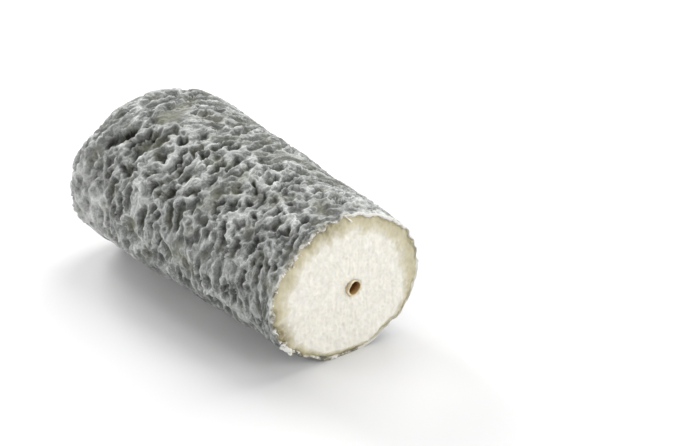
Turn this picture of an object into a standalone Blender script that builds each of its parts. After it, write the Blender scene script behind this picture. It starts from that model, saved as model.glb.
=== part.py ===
"""A cut log of ash-rinded goat's cheese with the rye straw that runs through it.

Units are metres, +Z is up and the log lies along X. The cut face looks towards +X and the
rounded far end towards -X. The origin is under the middle of the whole, on the surface it lies on.
"""

import math

import bmesh
import bpy
import numpy as np
from mathutils import Matrix, Vector

MM = 0.001

# Driving dimensions of the log
CUT_RADIUS = 23.85 * MM          # mean radius of the section at the cut, the thin end
FAR_RADIUS = 27.85 * MM          # mean radius at the uncut, thick end
LENGTH = 94.0 * MM               # cut face to far end, measured along the surface it lies on
SAG = 1.086                      # a soft log sags: its width over its height
SETTLE = 0.8 * MM                # how much of the round underside has gone flat
EDGE_RADIUS = 5.3 * MM           # rounding between the side and the far end
END_BULGE = 1.2 * MM             # how far the far end swells out in its middle
CUT_SLANT = (6.0, -0.7)          # degrees that the knife was off square, sideways and upright
FAR_SLANT = (10.5, 9.0)          # degrees that the far end leans, sideways and upright

# The straw
STRAW_DIAMETER = 5.0 * MM
STRAW_BORE = 4.1 * MM
STRAW_OFFSET = (2.75 * MM, -1.2 * MM)    # from the log's axis at the cut, sideways and upright
STRAW_PROUD = 0.1 * MM                   # past the cut face
STRAW_STUB = 10.0 * MM                   # past the middle of the far end
STRAW_SIDES = 20
BORE_GAP = 0.3 * MM                      # between the straw and the cheese round it

# Folds of the rind
FOLD_DEPTH = 2.8 * MM            # crest to deepest hollow
FOLD_LEVEL = 0.69                # usual height of the folds, as a share of their depth
FOLD_SINK = 0.15                 # how far that lies under the smooth form, as a share of their depth
RIB_DEPTH = 0.8                  # depth of the ribs low on the side, as a share of the net's on top
RIB_ANGLES = (108, 132)          # degrees from straight down over which ribs give way to the net
NET = (40, 6.8 * MM, 1.5, 0.50 * MM)     # seed, wave along the log, its stretch round the log
RIBS = (60, 5.6 * MM, 2.9, 0.32 * MM)    # and the reach of the small wobbles that bend the folds
END_FOLDS = (80, 6.6 * MM, 1.4, 0.40 * MM)
BRANCH_SHARE = 0.62              # wave of the branches, as a share of the main folds'
SMALL_WOBBLE = (3.5 * MM, 0.4)   # wave of the small wobbles, and the spread of it as a share
LARGE_WOBBLE = (9.0 * MM, 0.9 * MM)      # wave and reach of the large ones
LEAN = (-0.9 * MM, 0.4 * MM)     # how far a crest leans past its foot, along the log and round it
CROWDING = (6 * MM, 10 * MM)     # folds crowd by the cut: by how much, and over what distance
LUMPS = (91, (20 * MM, 24 * MM))         # seed and size of the slow swells under the folds
LUMP_DEPTH = 0.38 * MM
CALM = ((0.0, 3 * MM, 0.5),              # folds are lower at the cut and at the far edge: place,
        (91 * MM, 5 * MM, 0.35))         # reach and share of the depth that is missing
PRESSED_ANGLE = 22.0             # degrees either side of straight down where the folds are pressed flat
PRESSED_SHARE = 0.12             # share of their depth that is left there
END_BLEND = (1.6, 0.3)           # how fast and how late the far end's own folds set in on its edge
UNEVEN_DEPTH = ((160, 35, 0.12),         # folds are deeper on the left and shallower on the right:
                (52, 32, -0.30))         # degrees round, reach in degrees and share of the depth
BAND_SPREAD = 0.42               # spread of the wave of the bands, as a share
BAND_ROUNDS = 3                  # rounds of sharpening that part noise into bands
BAND_SHARPENING = 1.2            # how hard each round sharpens
CREST_ROUND = 0.25               # how round a crest is, as a share of a band's usual height
MAIN_CREST = (1.45, 2.5)         # band height at a fold's foot, and how steeply it falls off there
BRANCH_CREST = (1.45, 2.5)
MAIN_SHARE = 0.6                 # share of the depth that the main folds have, before the branches
BRANCH_IN_HOLLOW = 0.42          # height of a branch down in a hollow, as a share of one on a fold
VIGOUR_WAVE = 9 * MM             # wave of the slow changes in the depth of the folds
VIGOUR = (0.12, 0.7, 1.3)        # how strong they are, and the least and most that they make of it
FLOOR_LEVEL = (0.20, 0.12)       # height of the hollows' floors, and how softly folds run into them
CELL = 0.3 * MM                  # grid on which the folds are worked out
SIDE_CELLS = (420, 540)          # cells along the log and once round it
END_CELLS = (240, 240)           # cells of the square patch that covers the far end

# Marks with a place of their own: mm from the cut, degrees round, height, mm long, mm wide, turn.
# The plate's height is a share of the folds' depth and the others' are in mm.
PLATE = (75.5, 103, 0.12, 3.0, 2.6, 0)       # smooth stretch
PLATE_FIRMNESS = 1.4                         # how flat its middle is before it fades out
PLATE_CALM = 0.8                             # share of the folds' depth that is missing on it
MARKS = ((79.0, 127, -4.2, 2.3, 1.1, 72),    # deep pit
         (83.2, 138, -1.7, 2.8, 1.0, 85),    # hollow behind it
         (85.8, 135.5, 1.5, 4.2, 0.6, 88),   # raised flap of skin over the hollow
         (71.0, 121, -1.6, 1.0, 0.8, 0),     # small pit
         (49.5, 183, -1.5, 3.6, 0.5, 75))    # crack low on the side

# The mesh
ROW_STEP = 1.0 * MM
COLUMNS = 168
FINE = 3                         # the folds are first worked out on a grid this many times finer
SOFTENING = (5, 14)              # rounds of smoothing on that grid, along the log and round it
OVERLENGTH = 5.0 * MM            # log beyond the cut, which the knife takes off
BODY_FACES = 11200               # triangles kept in the rind and the far end
SHARP_ANGLE = {"cheese": 50, "straw": 40}    # degrees beyond which an edge is shaded as a sharp one
CUTTER_SIZE = 200 * MM
CUTTER_REACH = 4 * MM            # how far the bore's cutter goes past the ends of the straw

# The plain finishes: colour and roughness
RIND_FINISH = ((0.245, 0.250, 0.247), 0.9)
STRAW_FINISH = ((0.56, 0.36, 0.15), 0.55)


def clear_scene():
    """Take every object out of the scene."""
    for obj in list(bpy.data.objects):
        bpy.data.objects.remove(obj, do_unlink=True)


def finish(name, colour, roughness):
    """A plain Principled material."""
    material = bpy.data.materials.new(name)
    material.use_nodes = True
    shader = material.node_tree.nodes["Principled BSDF"]
    shader.inputs["Base Color"].default_value = (*colour, 1.0)
    shader.inputs["Roughness"].default_value = roughness
    shader.inputs["Metallic"].default_value = 0.0
    return material


class Sheet:
    """Patterns on a flat grid that repeats at its edges, for one patch of rind."""

    def __init__(self, cells):
        self.cells = cells
        self.along = np.fft.fftfreq(cells[0], CELL)[:, None]
        self.around = np.fft.rfftfreq(cells[1], CELL)[None, :]

    def filtered(self, field, wave, width=None):
        """Keep the waves near one size; with no width, keep all the longer ones."""
        pitch = np.sqrt((self.along * wave[0]) ** 2 + (self.around * wave[1]) ** 2)
        if width is None:
            keep = np.exp(-2.0 * pitch ** 2)
        else:
            keep = np.exp(-0.5 * ((pitch - 1.0) / width) ** 2)
        return np.fft.irfft2(np.fft.rfft2(field) * keep, s=self.cells)

    def even(self, field, wave, width=None):
        """The same, scaled so that its usual height is 1."""
        result = self.filtered(field, wave, width)
        return result / result.std()

    def noise(self, seed, wave, width=None):
        """Random swells of one size."""
        field = np.random.default_rng(seed).standard_normal(self.cells)
        return self.even(field, wave, width)

    def stripes(self, seed, wave):
        """Noise that is sharpened and filtered in turn, until it parts into even bands."""
        field = np.random.default_rng(seed).standard_normal(self.cells)
        for _ in range(BAND_ROUNDS):
            field = np.tanh(BAND_SHARPENING * self.even(field, wave, BAND_SPREAD))
        return self.even(field, wave, BAND_SPREAD)

    def read(self, field, along, around):
        """The field's value at places given in metres, blended between cells."""
        row = np.asarray(along) / CELL
        column = np.asarray(around) / CELL
        low_row = np.floor(row).astype(int)
        low_column = np.floor(column).astype(int)
        part_row = row - low_row
        part_column = column - low_column
        rows, columns = self.cells
        near = field[low_row % rows, low_column % columns] * (1 - part_column)
        near += field[low_row % rows, (low_column + 1) % columns] * part_column
        far = field[(low_row + 1) % rows, low_column % columns] * (1 - part_column)
        far += field[(low_row + 1) % rows, (low_column + 1) % columns] * part_column
        return near * (1 - part_row) + far * part_row


def crest(bands, reach, power):
    """Round ridges where the bands change sign, with narrow hollows between them."""
    from_line = np.sqrt(bands ** 2 + CREST_ROUND ** 2) - CREST_ROUND
    return 1.0 - np.clip(from_line / reach, 0.0, 1.0) ** power


def fold_heights(bands):
    """Fold heights from 0 to about 1, from the signed bands of both sizes."""
    main = crest(bands["main"], *MAIN_CREST)
    branch = crest(bands["branch"], *BRANCH_CREST)
    branch = branch * (BRANCH_IN_HOLLOW + (1 - BRANCH_IN_HOLLOW) * main)
    strength, least, most = VIGOUR
    vigour = np.clip(1.0 + strength * bands["vigour"], least, most)
    folds = (MAIN_SHARE * main + (1 - MAIN_SHARE) * branch) * vigour
    level, softness = FLOOR_LEVEL
    return 0.5 * (folds + level + np.sqrt((folds - level) ** 2 + softness ** 2))


def band_fields(sheet, seed, wave, stretch, wobble):
    """Signed bands of both sizes on a sheet, and swells that vary the depth of the folds."""
    rows, columns = np.meshgrid(*[np.arange(n) * CELL for n in sheet.cells], indexing="ij")
    large, large_reach = LARGE_WOBBLE
    small, spread = SMALL_WOBBLE
    rows = rows + wobble * sheet.noise(seed + 1, (small, small), spread)
    columns = columns + wobble * sheet.noise(seed + 2, (small, small), spread)
    rows = rows + large_reach * sheet.noise(seed + 3, (large, large))
    columns = columns + large_reach * sheet.noise(seed + 4, (large, large))
    branch_wave = BRANCH_SHARE * wave
    main = sheet.stripes(seed + 5, (wave, wave * stretch))
    branch = sheet.stripes(seed + 6, (branch_wave, branch_wave * stretch))
    return {"main": sheet.read(main, rows, columns), "branch": sheet.read(branch, rows, columns),
            "vigour": sheet.noise(seed + 7, (VIGOUR_WAVE, VIGOUR_WAVE))}


def smoothstep(value, low, high):
    """0 below low, 1 above high and an easy curve between."""
    part = np.clip((value - low) / (high - low), 0.0, 1.0)
    return part * part * (3 - 2 * part)


def mixed(first, second, share):
    """A mix of two patterns that keeps its height halfway between them."""
    return (first * (1 - share) + second * share) / np.sqrt(share ** 2 + (1 - share) ** 2)


def profile(step):
    """The log's outline as rows of distance from the cut and radius.

    It runs from beyond the cut, along the side, round the far edge and in to the middle of the end.
    """
    rows = []
    side_rows = round((LENGTH - EDGE_RADIUS + OVERLENGTH) / step)
    for k in range(side_rows):
        reach = -OVERLENGTH + (LENGTH - EDGE_RADIUS + OVERLENGTH) * k / side_rows
        rows.append((reach, side_radius(reach)))
    edge_rows = round(EDGE_RADIUS * math.pi / 2 / step)
    for k in range(edge_rows):
        turn = math.pi / 2 * k / edge_rows
        rows.append((LENGTH - EDGE_RADIUS * (1 - math.sin(turn)),
                     FAR_RADIUS - EDGE_RADIUS * (1 - math.cos(turn))))
    rim = FAR_RADIUS - EDGE_RADIUS
    end_rows = round(rim / step)
    for k in range(end_rows):
        radius = rim * (1 - k / end_rows)
        rows.append((LENGTH + END_BULGE * (1 - (radius / rim) ** 2), radius))
    return np.array(rows)


def side_radius(reach):
    """Mean radius of the tapered side at a distance from the cut."""
    return CUT_RADIUS + (FAR_RADIUS - CUT_RADIUS) * reach / (LENGTH - EDGE_RADIUS)


def axis_height(reach):
    """Height of the log's axis over the surface it lies on."""
    far_height = FAR_RADIUS / math.sqrt(SAG)
    cut_height = CUT_RADIUS / math.sqrt(SAG)
    return cut_height + (far_height - cut_height) * reach / LENGTH - SETTLE


def smooth_form(rows, angles):
    """Points of the log without its folds. The cut is at x = 0 and the far end at x = -LENGTH."""
    reach = rows[:, 0][:, None]
    radius = rows[:, 1][:, None]
    side = radius * math.sqrt(SAG) * np.cos(angles)[None, :]
    rise = radius / math.sqrt(SAG) * np.sin(angles)[None, :]
    share = np.clip(reach / LENGTH, 0.0, 1.0)
    lean_side = (1 - share) * math.tan(math.radians(CUT_SLANT[0]))
    lean_side = lean_side + share * math.tan(math.radians(FAR_SLANT[0]))
    lean_rise = (1 - share) * math.tan(math.radians(CUT_SLANT[1]))
    lean_rise = lean_rise + share * math.tan(math.radians(FAR_SLANT[1]))
    x = -reach + lean_side * side + lean_rise * rise
    z = np.broadcast_to(axis_height(np.minimum(reach, LENGTH)), x.shape) + rise
    return np.stack([x, np.broadcast_to(side, x.shape), z], axis=-1)


def outward(points):
    """Unit normals of a grid of points that closes round its columns."""
    along = np.gradient(points, axis=0)
    around = np.roll(points, -1, axis=1) - np.roll(points, 1, axis=1)
    normals = np.cross(along, around)
    return normals / np.linalg.norm(normals, axis=-1, keepdims=True)


def mark_shape(walked, radii, angles, reach, degrees, length, width, turn):
    """A soft spot, 1 in its middle; turn is 0 along the log and 90 round it."""
    ahead = walked[:, None] / MM - reach
    sideways = ((np.degrees(angles) - degrees + 180) % 360 - 180) * math.pi / 180
    sideways = sideways[None, :] * radii[:, None] / MM
    tilt = math.radians(turn)
    over = ahead * math.cos(tilt) + sideways * math.sin(tilt)
    across = sideways * math.cos(tilt) - ahead * math.sin(tilt)
    return np.exp(-0.5 * ((over / length) ** 2 + (across / width) ** 2))


def softened(heights):
    """Heights without their finest creases: each point is averaged with its neighbours."""
    for _ in range(SOFTENING[0]):
        padded = np.concatenate([heights[:1], heights, heights[-1:]])
        heights = (padded[:-2] + 2 * padded[1:-1] + padded[2:]) / 4
    for _ in range(SOFTENING[1]):
        heights = (np.roll(heights, 1, axis=1) + 2 * heights + np.roll(heights, -1, axis=1)) / 4
    return heights


def fold_pattern(points, walked, angles, ribbed, on_end):
    """Fold heights of every point: a net on top, ribs low down and the far end's own folds."""
    side = Sheet(SIDE_CELLS)
    end = Sheet(END_CELLS)
    net = band_fields(side, *NET)
    ribs = band_fields(side, *RIBS)
    end_folds = band_fields(end, *END_FOLDS)
    crowded = CROWDING[0] * (1 - np.exp(-np.maximum(walked, 0.0) / CROWDING[1]))
    along = (walked + OVERLENGTH + crowded)[:, None] + 0 * angles[None, :]
    around = angles[None, :] / (2 * math.pi) * SIDE_CELLS[1] * CELL + 0 * along
    heights = 0.0
    for _ in range(2):
        place = (along - LEAN[0] * heights, around - LEAN[1] * heights)
        bands = {}
        for size in net:
            on_side = mixed(side.read(net[size], *place), side.read(ribs[size], *place), ribbed)
            on_far_end = end.read(end_folds[size], points[..., 1], points[..., 2])
            bands[size] = mixed(on_side, on_far_end, on_end)
        heights = fold_heights(bands)
    swells = side.read(side.noise(*LUMPS), along, around) * (1 - on_end)
    return heights - FOLD_LEVEL, swells


def folded_body():
    """Grid of rind points, from beyond the cut to the middle of the far end."""
    rows = profile(ROW_STEP / FINE)
    angles = np.arange(COLUMNS * FINE) * 2 * math.pi / (COLUMNS * FINE)
    points = smooth_form(rows, angles)
    normals = outward(points)
    walked = np.concatenate([[0.0], np.cumsum(np.linalg.norm(np.diff(rows, axis=0), axis=1))])
    walked = walked - OVERLENGTH
    below = np.degrees(np.abs((angles - 1.5 * math.pi + math.pi) % (2 * math.pi) - math.pi))
    ribbed = 1 - smoothstep(below, *RIB_ANGLES)[None, :] + 0 * points[..., 0]
    on_end = smoothstep(-normals[..., 0] * END_BLEND[0] - END_BLEND[1], 0.0, 1.0)

    folds, swells = fold_pattern(points, walked, angles, ribbed, on_end)
    folds = folds * (1 - (1 - RIB_DEPTH) * ribbed * (1 - on_end))
    reach, degrees, height, length, width, turn = PLATE
    plate = mark_shape(walked, rows[:, 1], angles, reach, degrees, length, width, turn)
    plate = np.clip(PLATE_FIRMNESS * plate, 0.0, 1.0)
    folds = folds * (1 - PLATE_CALM * plate) + height * plate
    for place, spread, share in CALM:
        folds = folds * (1 - share * np.exp(-0.5 * ((walked - place) / spread) ** 2))[:, None]
    for middle, spread, share in UNEVEN_DEPTH:
        off = (np.degrees(angles) - middle + 180) % 360 - 180
        folds = folds * (1 + share * np.exp(-0.5 * (off / spread) ** 2) * (1 - on_end))
    free = np.clip((below[None, :] - PRESSED_ANGLE / 2) / PRESSED_ANGLE, PRESSED_SHARE, 1.0)
    free = np.maximum(free, on_end)
    lift = ((folds - FOLD_SINK) * FOLD_DEPTH + swells * LUMP_DEPTH) * free
    for reach, degrees, height, length, width, turn in MARKS:
        spot = mark_shape(walked, rows[:, 1], angles, reach, degrees, length, width, turn)
        lift = lift + height * MM * spot
    grid = points + normals * softened(lift)[..., None]
    return grid[::FINE, ::FINE]


def body_mesh(grid):
    """A closed mesh from the rind's grid: a band of quads for each row, and a fan at each end."""
    shape = bmesh.new()
    rings = [[shape.verts.new(point) for point in row] for row in grid]
    tips = [shape.verts.new(row.mean(axis=0)) for row in (grid[0], grid[-1])]
    count = len(rings[0])
    for ring, after in zip(rings, rings[1:]):
        for k in range(count):
            shape.faces.new((ring[k], after[k], after[(k + 1) % count], ring[(k + 1) % count]))
    for k in range(count):
        shape.faces.new((tips[0], rings[0][k], rings[0][(k + 1) % count]))
        shape.faces.new((tips[1], rings[-1][(k + 1) % count], rings[-1][k]))
    bmesh.ops.recalc_face_normals(shape, faces=shape.faces[:])
    bmesh.ops.triangulate(shape, faces=shape.faces[:])
    mesh = bpy.data.meshes.new("cheese")
    shape.to_mesh(mesh)
    shape.free()
    return mesh


def add_object(name, mesh):
    """Put a mesh into the scene as an object."""
    obj = bpy.data.objects.new(name, mesh)
    bpy.context.scene.collection.objects.link(obj)
    return obj


def cutter(name, mesh):
    """A guide that only takes material away."""
    obj = add_object(name, mesh)
    obj.hide_render = True
    obj.display_type = "WIRE"
    return obj


def box_mesh(name, size):
    """A cube centred on its own origin."""
    shape = bmesh.new()
    bmesh.ops.create_cube(shape, size=size)
    mesh = bpy.data.meshes.new(name)
    shape.to_mesh(mesh)
    shape.free()
    return mesh


def take_away(obj, tool, name):
    """Subtract a cutter with a live Boolean."""
    cut = obj.modifiers.new(name, "BOOLEAN")
    cut.operation = "DIFFERENCE"
    cut.solver = "EXACT"
    cut.object = tool


def log_axis():
    """Direction of the log's axis, from the cut to the far end."""
    return Vector((-LENGTH, 0.0, axis_height(LENGTH) - axis_height(0.0))).normalized()


def knife_normal():
    """Direction in which the cut face looks."""
    side, rise = (math.tan(math.radians(angle)) for angle in CUT_SLANT)
    return Vector((1.0, -side, -rise)).normalized()


def straw_ends():
    """Centres of the straw's two ends."""
    start = Vector((0.0, STRAW_OFFSET[0], axis_height(0.0) + STRAW_OFFSET[1]))
    to_face = -start.dot(knife_normal()) + Vector((0.0, 0.0, axis_height(0.0))).dot(knife_normal())
    direction = log_axis()
    start += direction * (to_face / direction.dot(knife_normal()))
    total = (LENGTH + start.x) / -direction.x + STRAW_STUB
    return start - direction * STRAW_PROUD, start + direction * total


def along_straw(start, end):
    """The turn that lays a shape made along Z on the line from start to end."""
    direction = (end - start).normalized()
    return Matrix.Translation((start + end) / 2) @ direction.to_track_quat("Z", "Y").to_matrix().to_4x4()


def bore_cutter():
    """The cylinder that clears the straw's way through the cheese."""
    start, end = straw_ends()
    shape = bmesh.new()
    radius = STRAW_DIAMETER / 2 + BORE_GAP
    bmesh.ops.create_cone(shape, cap_ends=True, segments=STRAW_SIDES, radius1=radius, radius2=radius,
                          depth=(end - start).length + 2 * CUTTER_REACH)
    shape.transform(along_straw(start, end))
    mesh = bpy.data.meshes.new("bore_cutter")
    shape.to_mesh(mesh)
    shape.free()
    return cutter("bore_cutter", mesh)


def knife_cutter():
    """A block whose face is the plane of the cut."""
    tool = cutter("knife_cutter", box_mesh("knife_cutter", CUTTER_SIZE))
    turn = knife_normal().to_track_quat("Z", "Y").to_matrix().to_4x4()
    middle = Vector((0.0, 0.0, axis_height(0.0))) + knife_normal() * CUTTER_SIZE / 2
    tool.data.transform(Matrix.Translation(middle) @ turn)
    return tool


def floor_cutter():
    """A block whose top is the surface that the log lies on."""
    tool = cutter("floor_cutter", box_mesh("floor_cutter", CUTTER_SIZE))
    tool.data.transform(Matrix.Translation((-LENGTH / 2, 0.0, -CUTTER_SIZE / 2)))
    return tool


def make_cheese(grid):
    """The log: folded rind, knife-cut face, flat strip underneath and the straw's bore."""
    mesh = body_mesh(grid)
    cheese = add_object("cheese", mesh)
    thin = cheese.modifiers.new("thin_out", "DECIMATE")
    thin.decimate_type = "COLLAPSE"
    thin.ratio = BODY_FACES / len(mesh.polygons)
    take_away(cheese, knife_cutter(), "knife_cut")
    take_away(cheese, floor_cutter(), "flat_strip")
    take_away(cheese, bore_cutter(), "straw_bore")
    mesh.materials.append(finish("ash_rind", *RIND_FINISH))
    mesh.shade_smooth()
    mesh.set_sharp_from_angle(angle=math.radians(SHARP_ANGLE["cheese"]))
    return cheese


def make_straw():
    """The rye straw: one open tube."""
    start, end = straw_ends()
    length = (end - start).length
    shape = bmesh.new()
    rings = []
    for radius, height in ((STRAW_DIAMETER / 2, -0.5), (STRAW_DIAMETER / 2, 0.5),
                           (STRAW_BORE / 2, 0.5), (STRAW_BORE / 2, -0.5)):
        ring = []
        for k in range(STRAW_SIDES):
            angle = 2 * math.pi * k / STRAW_SIDES
            ring.append(shape.verts.new((radius * math.cos(angle), radius * math.sin(angle),
                                         height * length)))
        rings.append(ring)
    for ring, after in zip(rings, rings[1:] + rings[:1]):
        for k in range(STRAW_SIDES):
            following = (k + 1) % STRAW_SIDES
            shape.faces.new((ring[k], ring[following], after[following], after[k]))
    bmesh.ops.recalc_face_normals(shape, faces=shape.faces[:])
    shape.transform(along_straw(start, end))
    mesh = bpy.data.meshes.new("straw")
    shape.to_mesh(mesh)
    shape.free()
    mesh.materials.append(finish("rye_straw", *STRAW_FINISH))
    mesh.shade_smooth()
    mesh.set_sharp_from_angle(angle=math.radians(SHARP_ANGLE["straw"]))
    return add_object("straw", mesh)


def middle_shift(grid):
    """How far the whole moves so that the origin lies under its middle."""
    points = grid.reshape(-1, 3)
    side, rise = (math.tan(math.radians(angle)) for angle in CUT_SLANT)
    past_cut = points[:, 0] - side * points[:, 1] - rise * (points[:, 2] - axis_height(0.0))
    kept = points[past_cut <= 0.0]
    start, end = straw_ends()
    middle_x = (kept[:, 0].max() + end.x) / 2
    middle_y = (kept[:, 1].max() + kept[:, 1].min()) / 2
    return Matrix.Translation((-middle_x, -middle_y, 0.0))


def main():
    clear_scene()
    grid = folded_body()
    make_cheese(grid)
    make_straw()
    shift = middle_shift(grid)
    for obj in bpy.data.objects:
        obj.data.transform(shift)


main()
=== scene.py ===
# %% [markdown]
# # Dressing a cut log of ash-rinded goat's cheese
# The plain model of this cheese is a short log lying on its side, cut square across at its thin
# end, with a hollow straw through its middle. This lesson gives it its looks: a grey mould rind
# crumpled into folds, a matt ivory paste at the cut, and a dry golden straw.
# The plain model is loaded first and stays fixed, so that everything made here sits where it says.

# %% Load the plain model
import math

import bpy
import numpy as np
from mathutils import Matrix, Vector


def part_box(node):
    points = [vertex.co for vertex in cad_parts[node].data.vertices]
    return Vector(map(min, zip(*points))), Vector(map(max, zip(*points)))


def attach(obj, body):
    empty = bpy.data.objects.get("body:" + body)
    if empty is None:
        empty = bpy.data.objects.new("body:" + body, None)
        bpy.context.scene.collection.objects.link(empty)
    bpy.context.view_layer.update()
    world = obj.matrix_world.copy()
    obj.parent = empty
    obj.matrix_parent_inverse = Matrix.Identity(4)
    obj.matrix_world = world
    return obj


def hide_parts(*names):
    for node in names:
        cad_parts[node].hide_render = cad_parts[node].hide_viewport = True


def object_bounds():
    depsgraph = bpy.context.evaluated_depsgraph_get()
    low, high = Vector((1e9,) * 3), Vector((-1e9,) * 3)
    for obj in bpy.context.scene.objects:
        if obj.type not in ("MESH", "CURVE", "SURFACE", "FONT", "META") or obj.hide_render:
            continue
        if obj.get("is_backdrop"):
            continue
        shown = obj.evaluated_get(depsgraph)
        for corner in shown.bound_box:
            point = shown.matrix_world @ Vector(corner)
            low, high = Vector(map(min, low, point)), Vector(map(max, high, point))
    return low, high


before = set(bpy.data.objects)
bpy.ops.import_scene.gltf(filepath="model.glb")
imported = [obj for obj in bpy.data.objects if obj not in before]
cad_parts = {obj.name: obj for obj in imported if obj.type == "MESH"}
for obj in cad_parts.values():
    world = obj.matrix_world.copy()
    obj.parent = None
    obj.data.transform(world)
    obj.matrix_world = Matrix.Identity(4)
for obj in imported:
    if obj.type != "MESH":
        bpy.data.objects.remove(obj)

MM = 0.001
BODY = "root"
cad_low, cad_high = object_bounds()
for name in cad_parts:
    node_low, node_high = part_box(name)
    print(name, "measures", [round(size / MM, 1) for size in node_high - node_low], "mm")

# %% [markdown]
# ## The log's sizes
# A log of this cheese tapers, because it leaves a tapered mould, and it sags a little as it
# ripens, so its section is wider than tall. It could be measured off the plain model point by
# point. A few sizes say the same, and every form in this lesson follows from them.

# %% Sizes of the smooth log
CUT_RADIUS = 23.85 * MM                  # at the cut, the thin end
FAR_RADIUS = 27.85 * MM                  # at the thick end
LENGTH = 94.0 * MM
SAG = 1.086                              # width over height
SETTLE = 0.8 * MM                        # how much of the round underside has gone flat
EDGE_RADIUS = 5.3 * MM                   # rounding of the far edge
END_BULGE = 1.2 * MM                     # how far the far end swells out
CUT_SLANT = (6.0, -0.7)                  # degrees off square, sideways and upright
FAR_SLANT = (10.5, 9.0)
STRAW_DIAMETER = 5.0 * MM
STRAW_BORE = 4.1 * MM
STRAW_OFFSET = (2.75 * MM, -1.2 * MM)    # off the log's axis at the cut
STRAW_PROUD = 0.10 * MM                  # past the cut
TURN = 2 * math.pi


def axis_height(reach):
    """Height of the log's axis at a distance from the cut."""
    heights = np.array([CUT_RADIUS, FAR_RADIUS]) / math.sqrt(SAG) - SETTLE
    return heights[0] + (heights[1] - heights[0]) * reach / LENGTH


def slopes(slant):
    """The sideways and upright lean of an end, as rises per unit."""
    return [math.tan(math.radians(angle)) for angle in slant]


cut_slopes = slopes(CUT_SLANT)
print("the axis rises from", round(axis_height(0.0) / MM, 1), "to",
      round(axis_height(LENGTH) / MM, 1), "mm")

# %% [markdown]
# ## Where the log lies
# The plain model was moved so that the origin lies under its middle. The straw's box tells by
# how much: a straight tube just touches both ends of its box, so where it begins and ends
# follows from the box and from its slope. Moving by eye would leave gaps round the straw.

# %% Where the log lies
straw_low, straw_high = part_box("straw")
straw_middle = (straw_low + straw_high) / 2
straw_way = Vector((-LENGTH, 0.0, axis_height(LENGTH) - axis_height(0.0))).normalized()
straw_half = (straw_high.x - straw_low.x - STRAW_DIAMETER * straw_way.z) / 2 / -straw_way.x
straw_cut_end = straw_middle - straw_way * straw_half
in_face = straw_cut_end + straw_way * STRAW_PROUD
SHIFT_Y = in_face.y - STRAW_OFFSET[0]
SHIFT_X = (in_face.x - cut_slopes[0] * STRAW_OFFSET[0]
           - cut_slopes[1] * (in_face.z - axis_height(0.0)))
print("the log was moved by", round(SHIFT_X / MM, 2), round(SHIFT_Y / MM, 2), "mm")

# %% [markdown]
# ## Camera
# The camera looks down from the side of the cut, with a long lens. It could be moved by hand
# until the picture looks right. Its place was found by matching the outline of a smooth tapered
# log to the outline in the picture that this follows, which also gives the log's proportions.

# %% Camera
AZIMUTH = math.radians(48.6)
ELEVATION = math.radians(28.98)
DISTANCE = 567.0 * MM
LENS = 91.05
SENSOR_WIDTH = 36.0
NEAREST = 10 * MM
LOOK_FROM_CUT = Vector((-59.6 * MM, 51.2 * MM, -0.8 * MM))

back = Vector((math.sin(AZIMUTH) * math.cos(ELEVATION),
               -math.cos(AZIMUTH) * math.cos(ELEVATION),
               math.sin(ELEVATION)))
aim = Vector((SHIFT_X, SHIFT_Y, 0.0)) + LOOK_FROM_CUT
bpy.ops.object.camera_add(location=aim + back * DISTANCE)
camera = bpy.context.object
camera.name = "camera"
camera.rotation_mode = "QUATERNION"
camera.rotation_quaternion = (-back).to_track_quat("-Z", "Y")
camera.data.sensor_width = SENSOR_WIDTH
camera.data.lens = LENS
camera.data.clip_start = NEAREST
bpy.context.scene.camera = camera
print("camera at", [round(value / MM) for value in camera.location], "mm")

# %% [markdown]
# ## White table
# The log lies on a seamless white table. A curved backdrop would do as well, but the camera
# looks down, so one large plane fills the picture. It is a stage and no part of the cheese.

# %% White table
FLOOR_SIZE = 6.0
FLOOR_WHITE = (0.77, 0.77, 0.77, 1.0)
FLOOR_ROUGHNESS = 0.7
FLOOR_GLOSS = 0.2

bpy.ops.mesh.primitive_plane_add(size=FLOOR_SIZE)
floor = bpy.context.object
floor.name = "floor"
white = bpy.data.materials.new("white_table")
white.use_nodes = True
table = white.node_tree.nodes["Principled BSDF"].inputs
table["Base Color"].default_value = FLOOR_WHITE
table["Roughness"].default_value = FLOOR_ROUGHNESS
table["Specular IOR Level"].default_value = FLOOR_GLOSS
floor.data.materials.append(white)
floor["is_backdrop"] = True
print("the table is", FLOOR_SIZE, "m wide")

# %% [markdown]
# ## Lamps and world
# Folds show only where light grazes them. The key lamp hangs behind and to the right, so that the
# folds throw short shadows and the log's own shadow falls to the front left. The front lamp
# lights the cut, the far lamp rakes over the far end, and the small left one lifts the near
# flank. A weak white world fills the rest. A sun would throw shadows too hard for this picture.

# %% Lamps and world
# Each lamp's place to the right, away and up, in metres, then its size and its watts
LAMPS = {"key": ((0.20, 0.28, 0.44), 0.56, 3.1),
         "front": ((0.46, -0.38, 0.34), 0.50, 2.35),
         "far": ((-0.34, 0.42, 0.34), 0.26, 2.7),
         "left": ((-0.50, -0.12, 0.24), 0.25, 1.2)}
LAMP_TARGET = Vector((0.0, 0.0, 25 * MM))
WORLD_WHITE = (1.0, 1.0, 1.0, 1.0)
WORLD_STRENGTH = 0.26
right = Vector((math.cos(AZIMUTH), math.sin(AZIMUTH), 0.0))
away = Vector((-math.sin(AZIMUTH), math.cos(AZIMUTH), 0.0))
up = Vector((0.0, 0.0, 1.0))

for name, (parts, size, watts) in LAMPS.items():
    place = right * parts[0] + away * parts[1] + up * parts[2]
    bpy.ops.object.light_add(type="AREA", location=LAMP_TARGET + place)
    light = bpy.context.object
    light.name = name
    light.data.size = size
    light.data.energy = watts
    light.rotation_mode = "QUATERNION"
    light.rotation_quaternion = place.to_track_quat("Z", "Y")
    print(name, "lamp is", round(place.length, 2), "m off")

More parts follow.
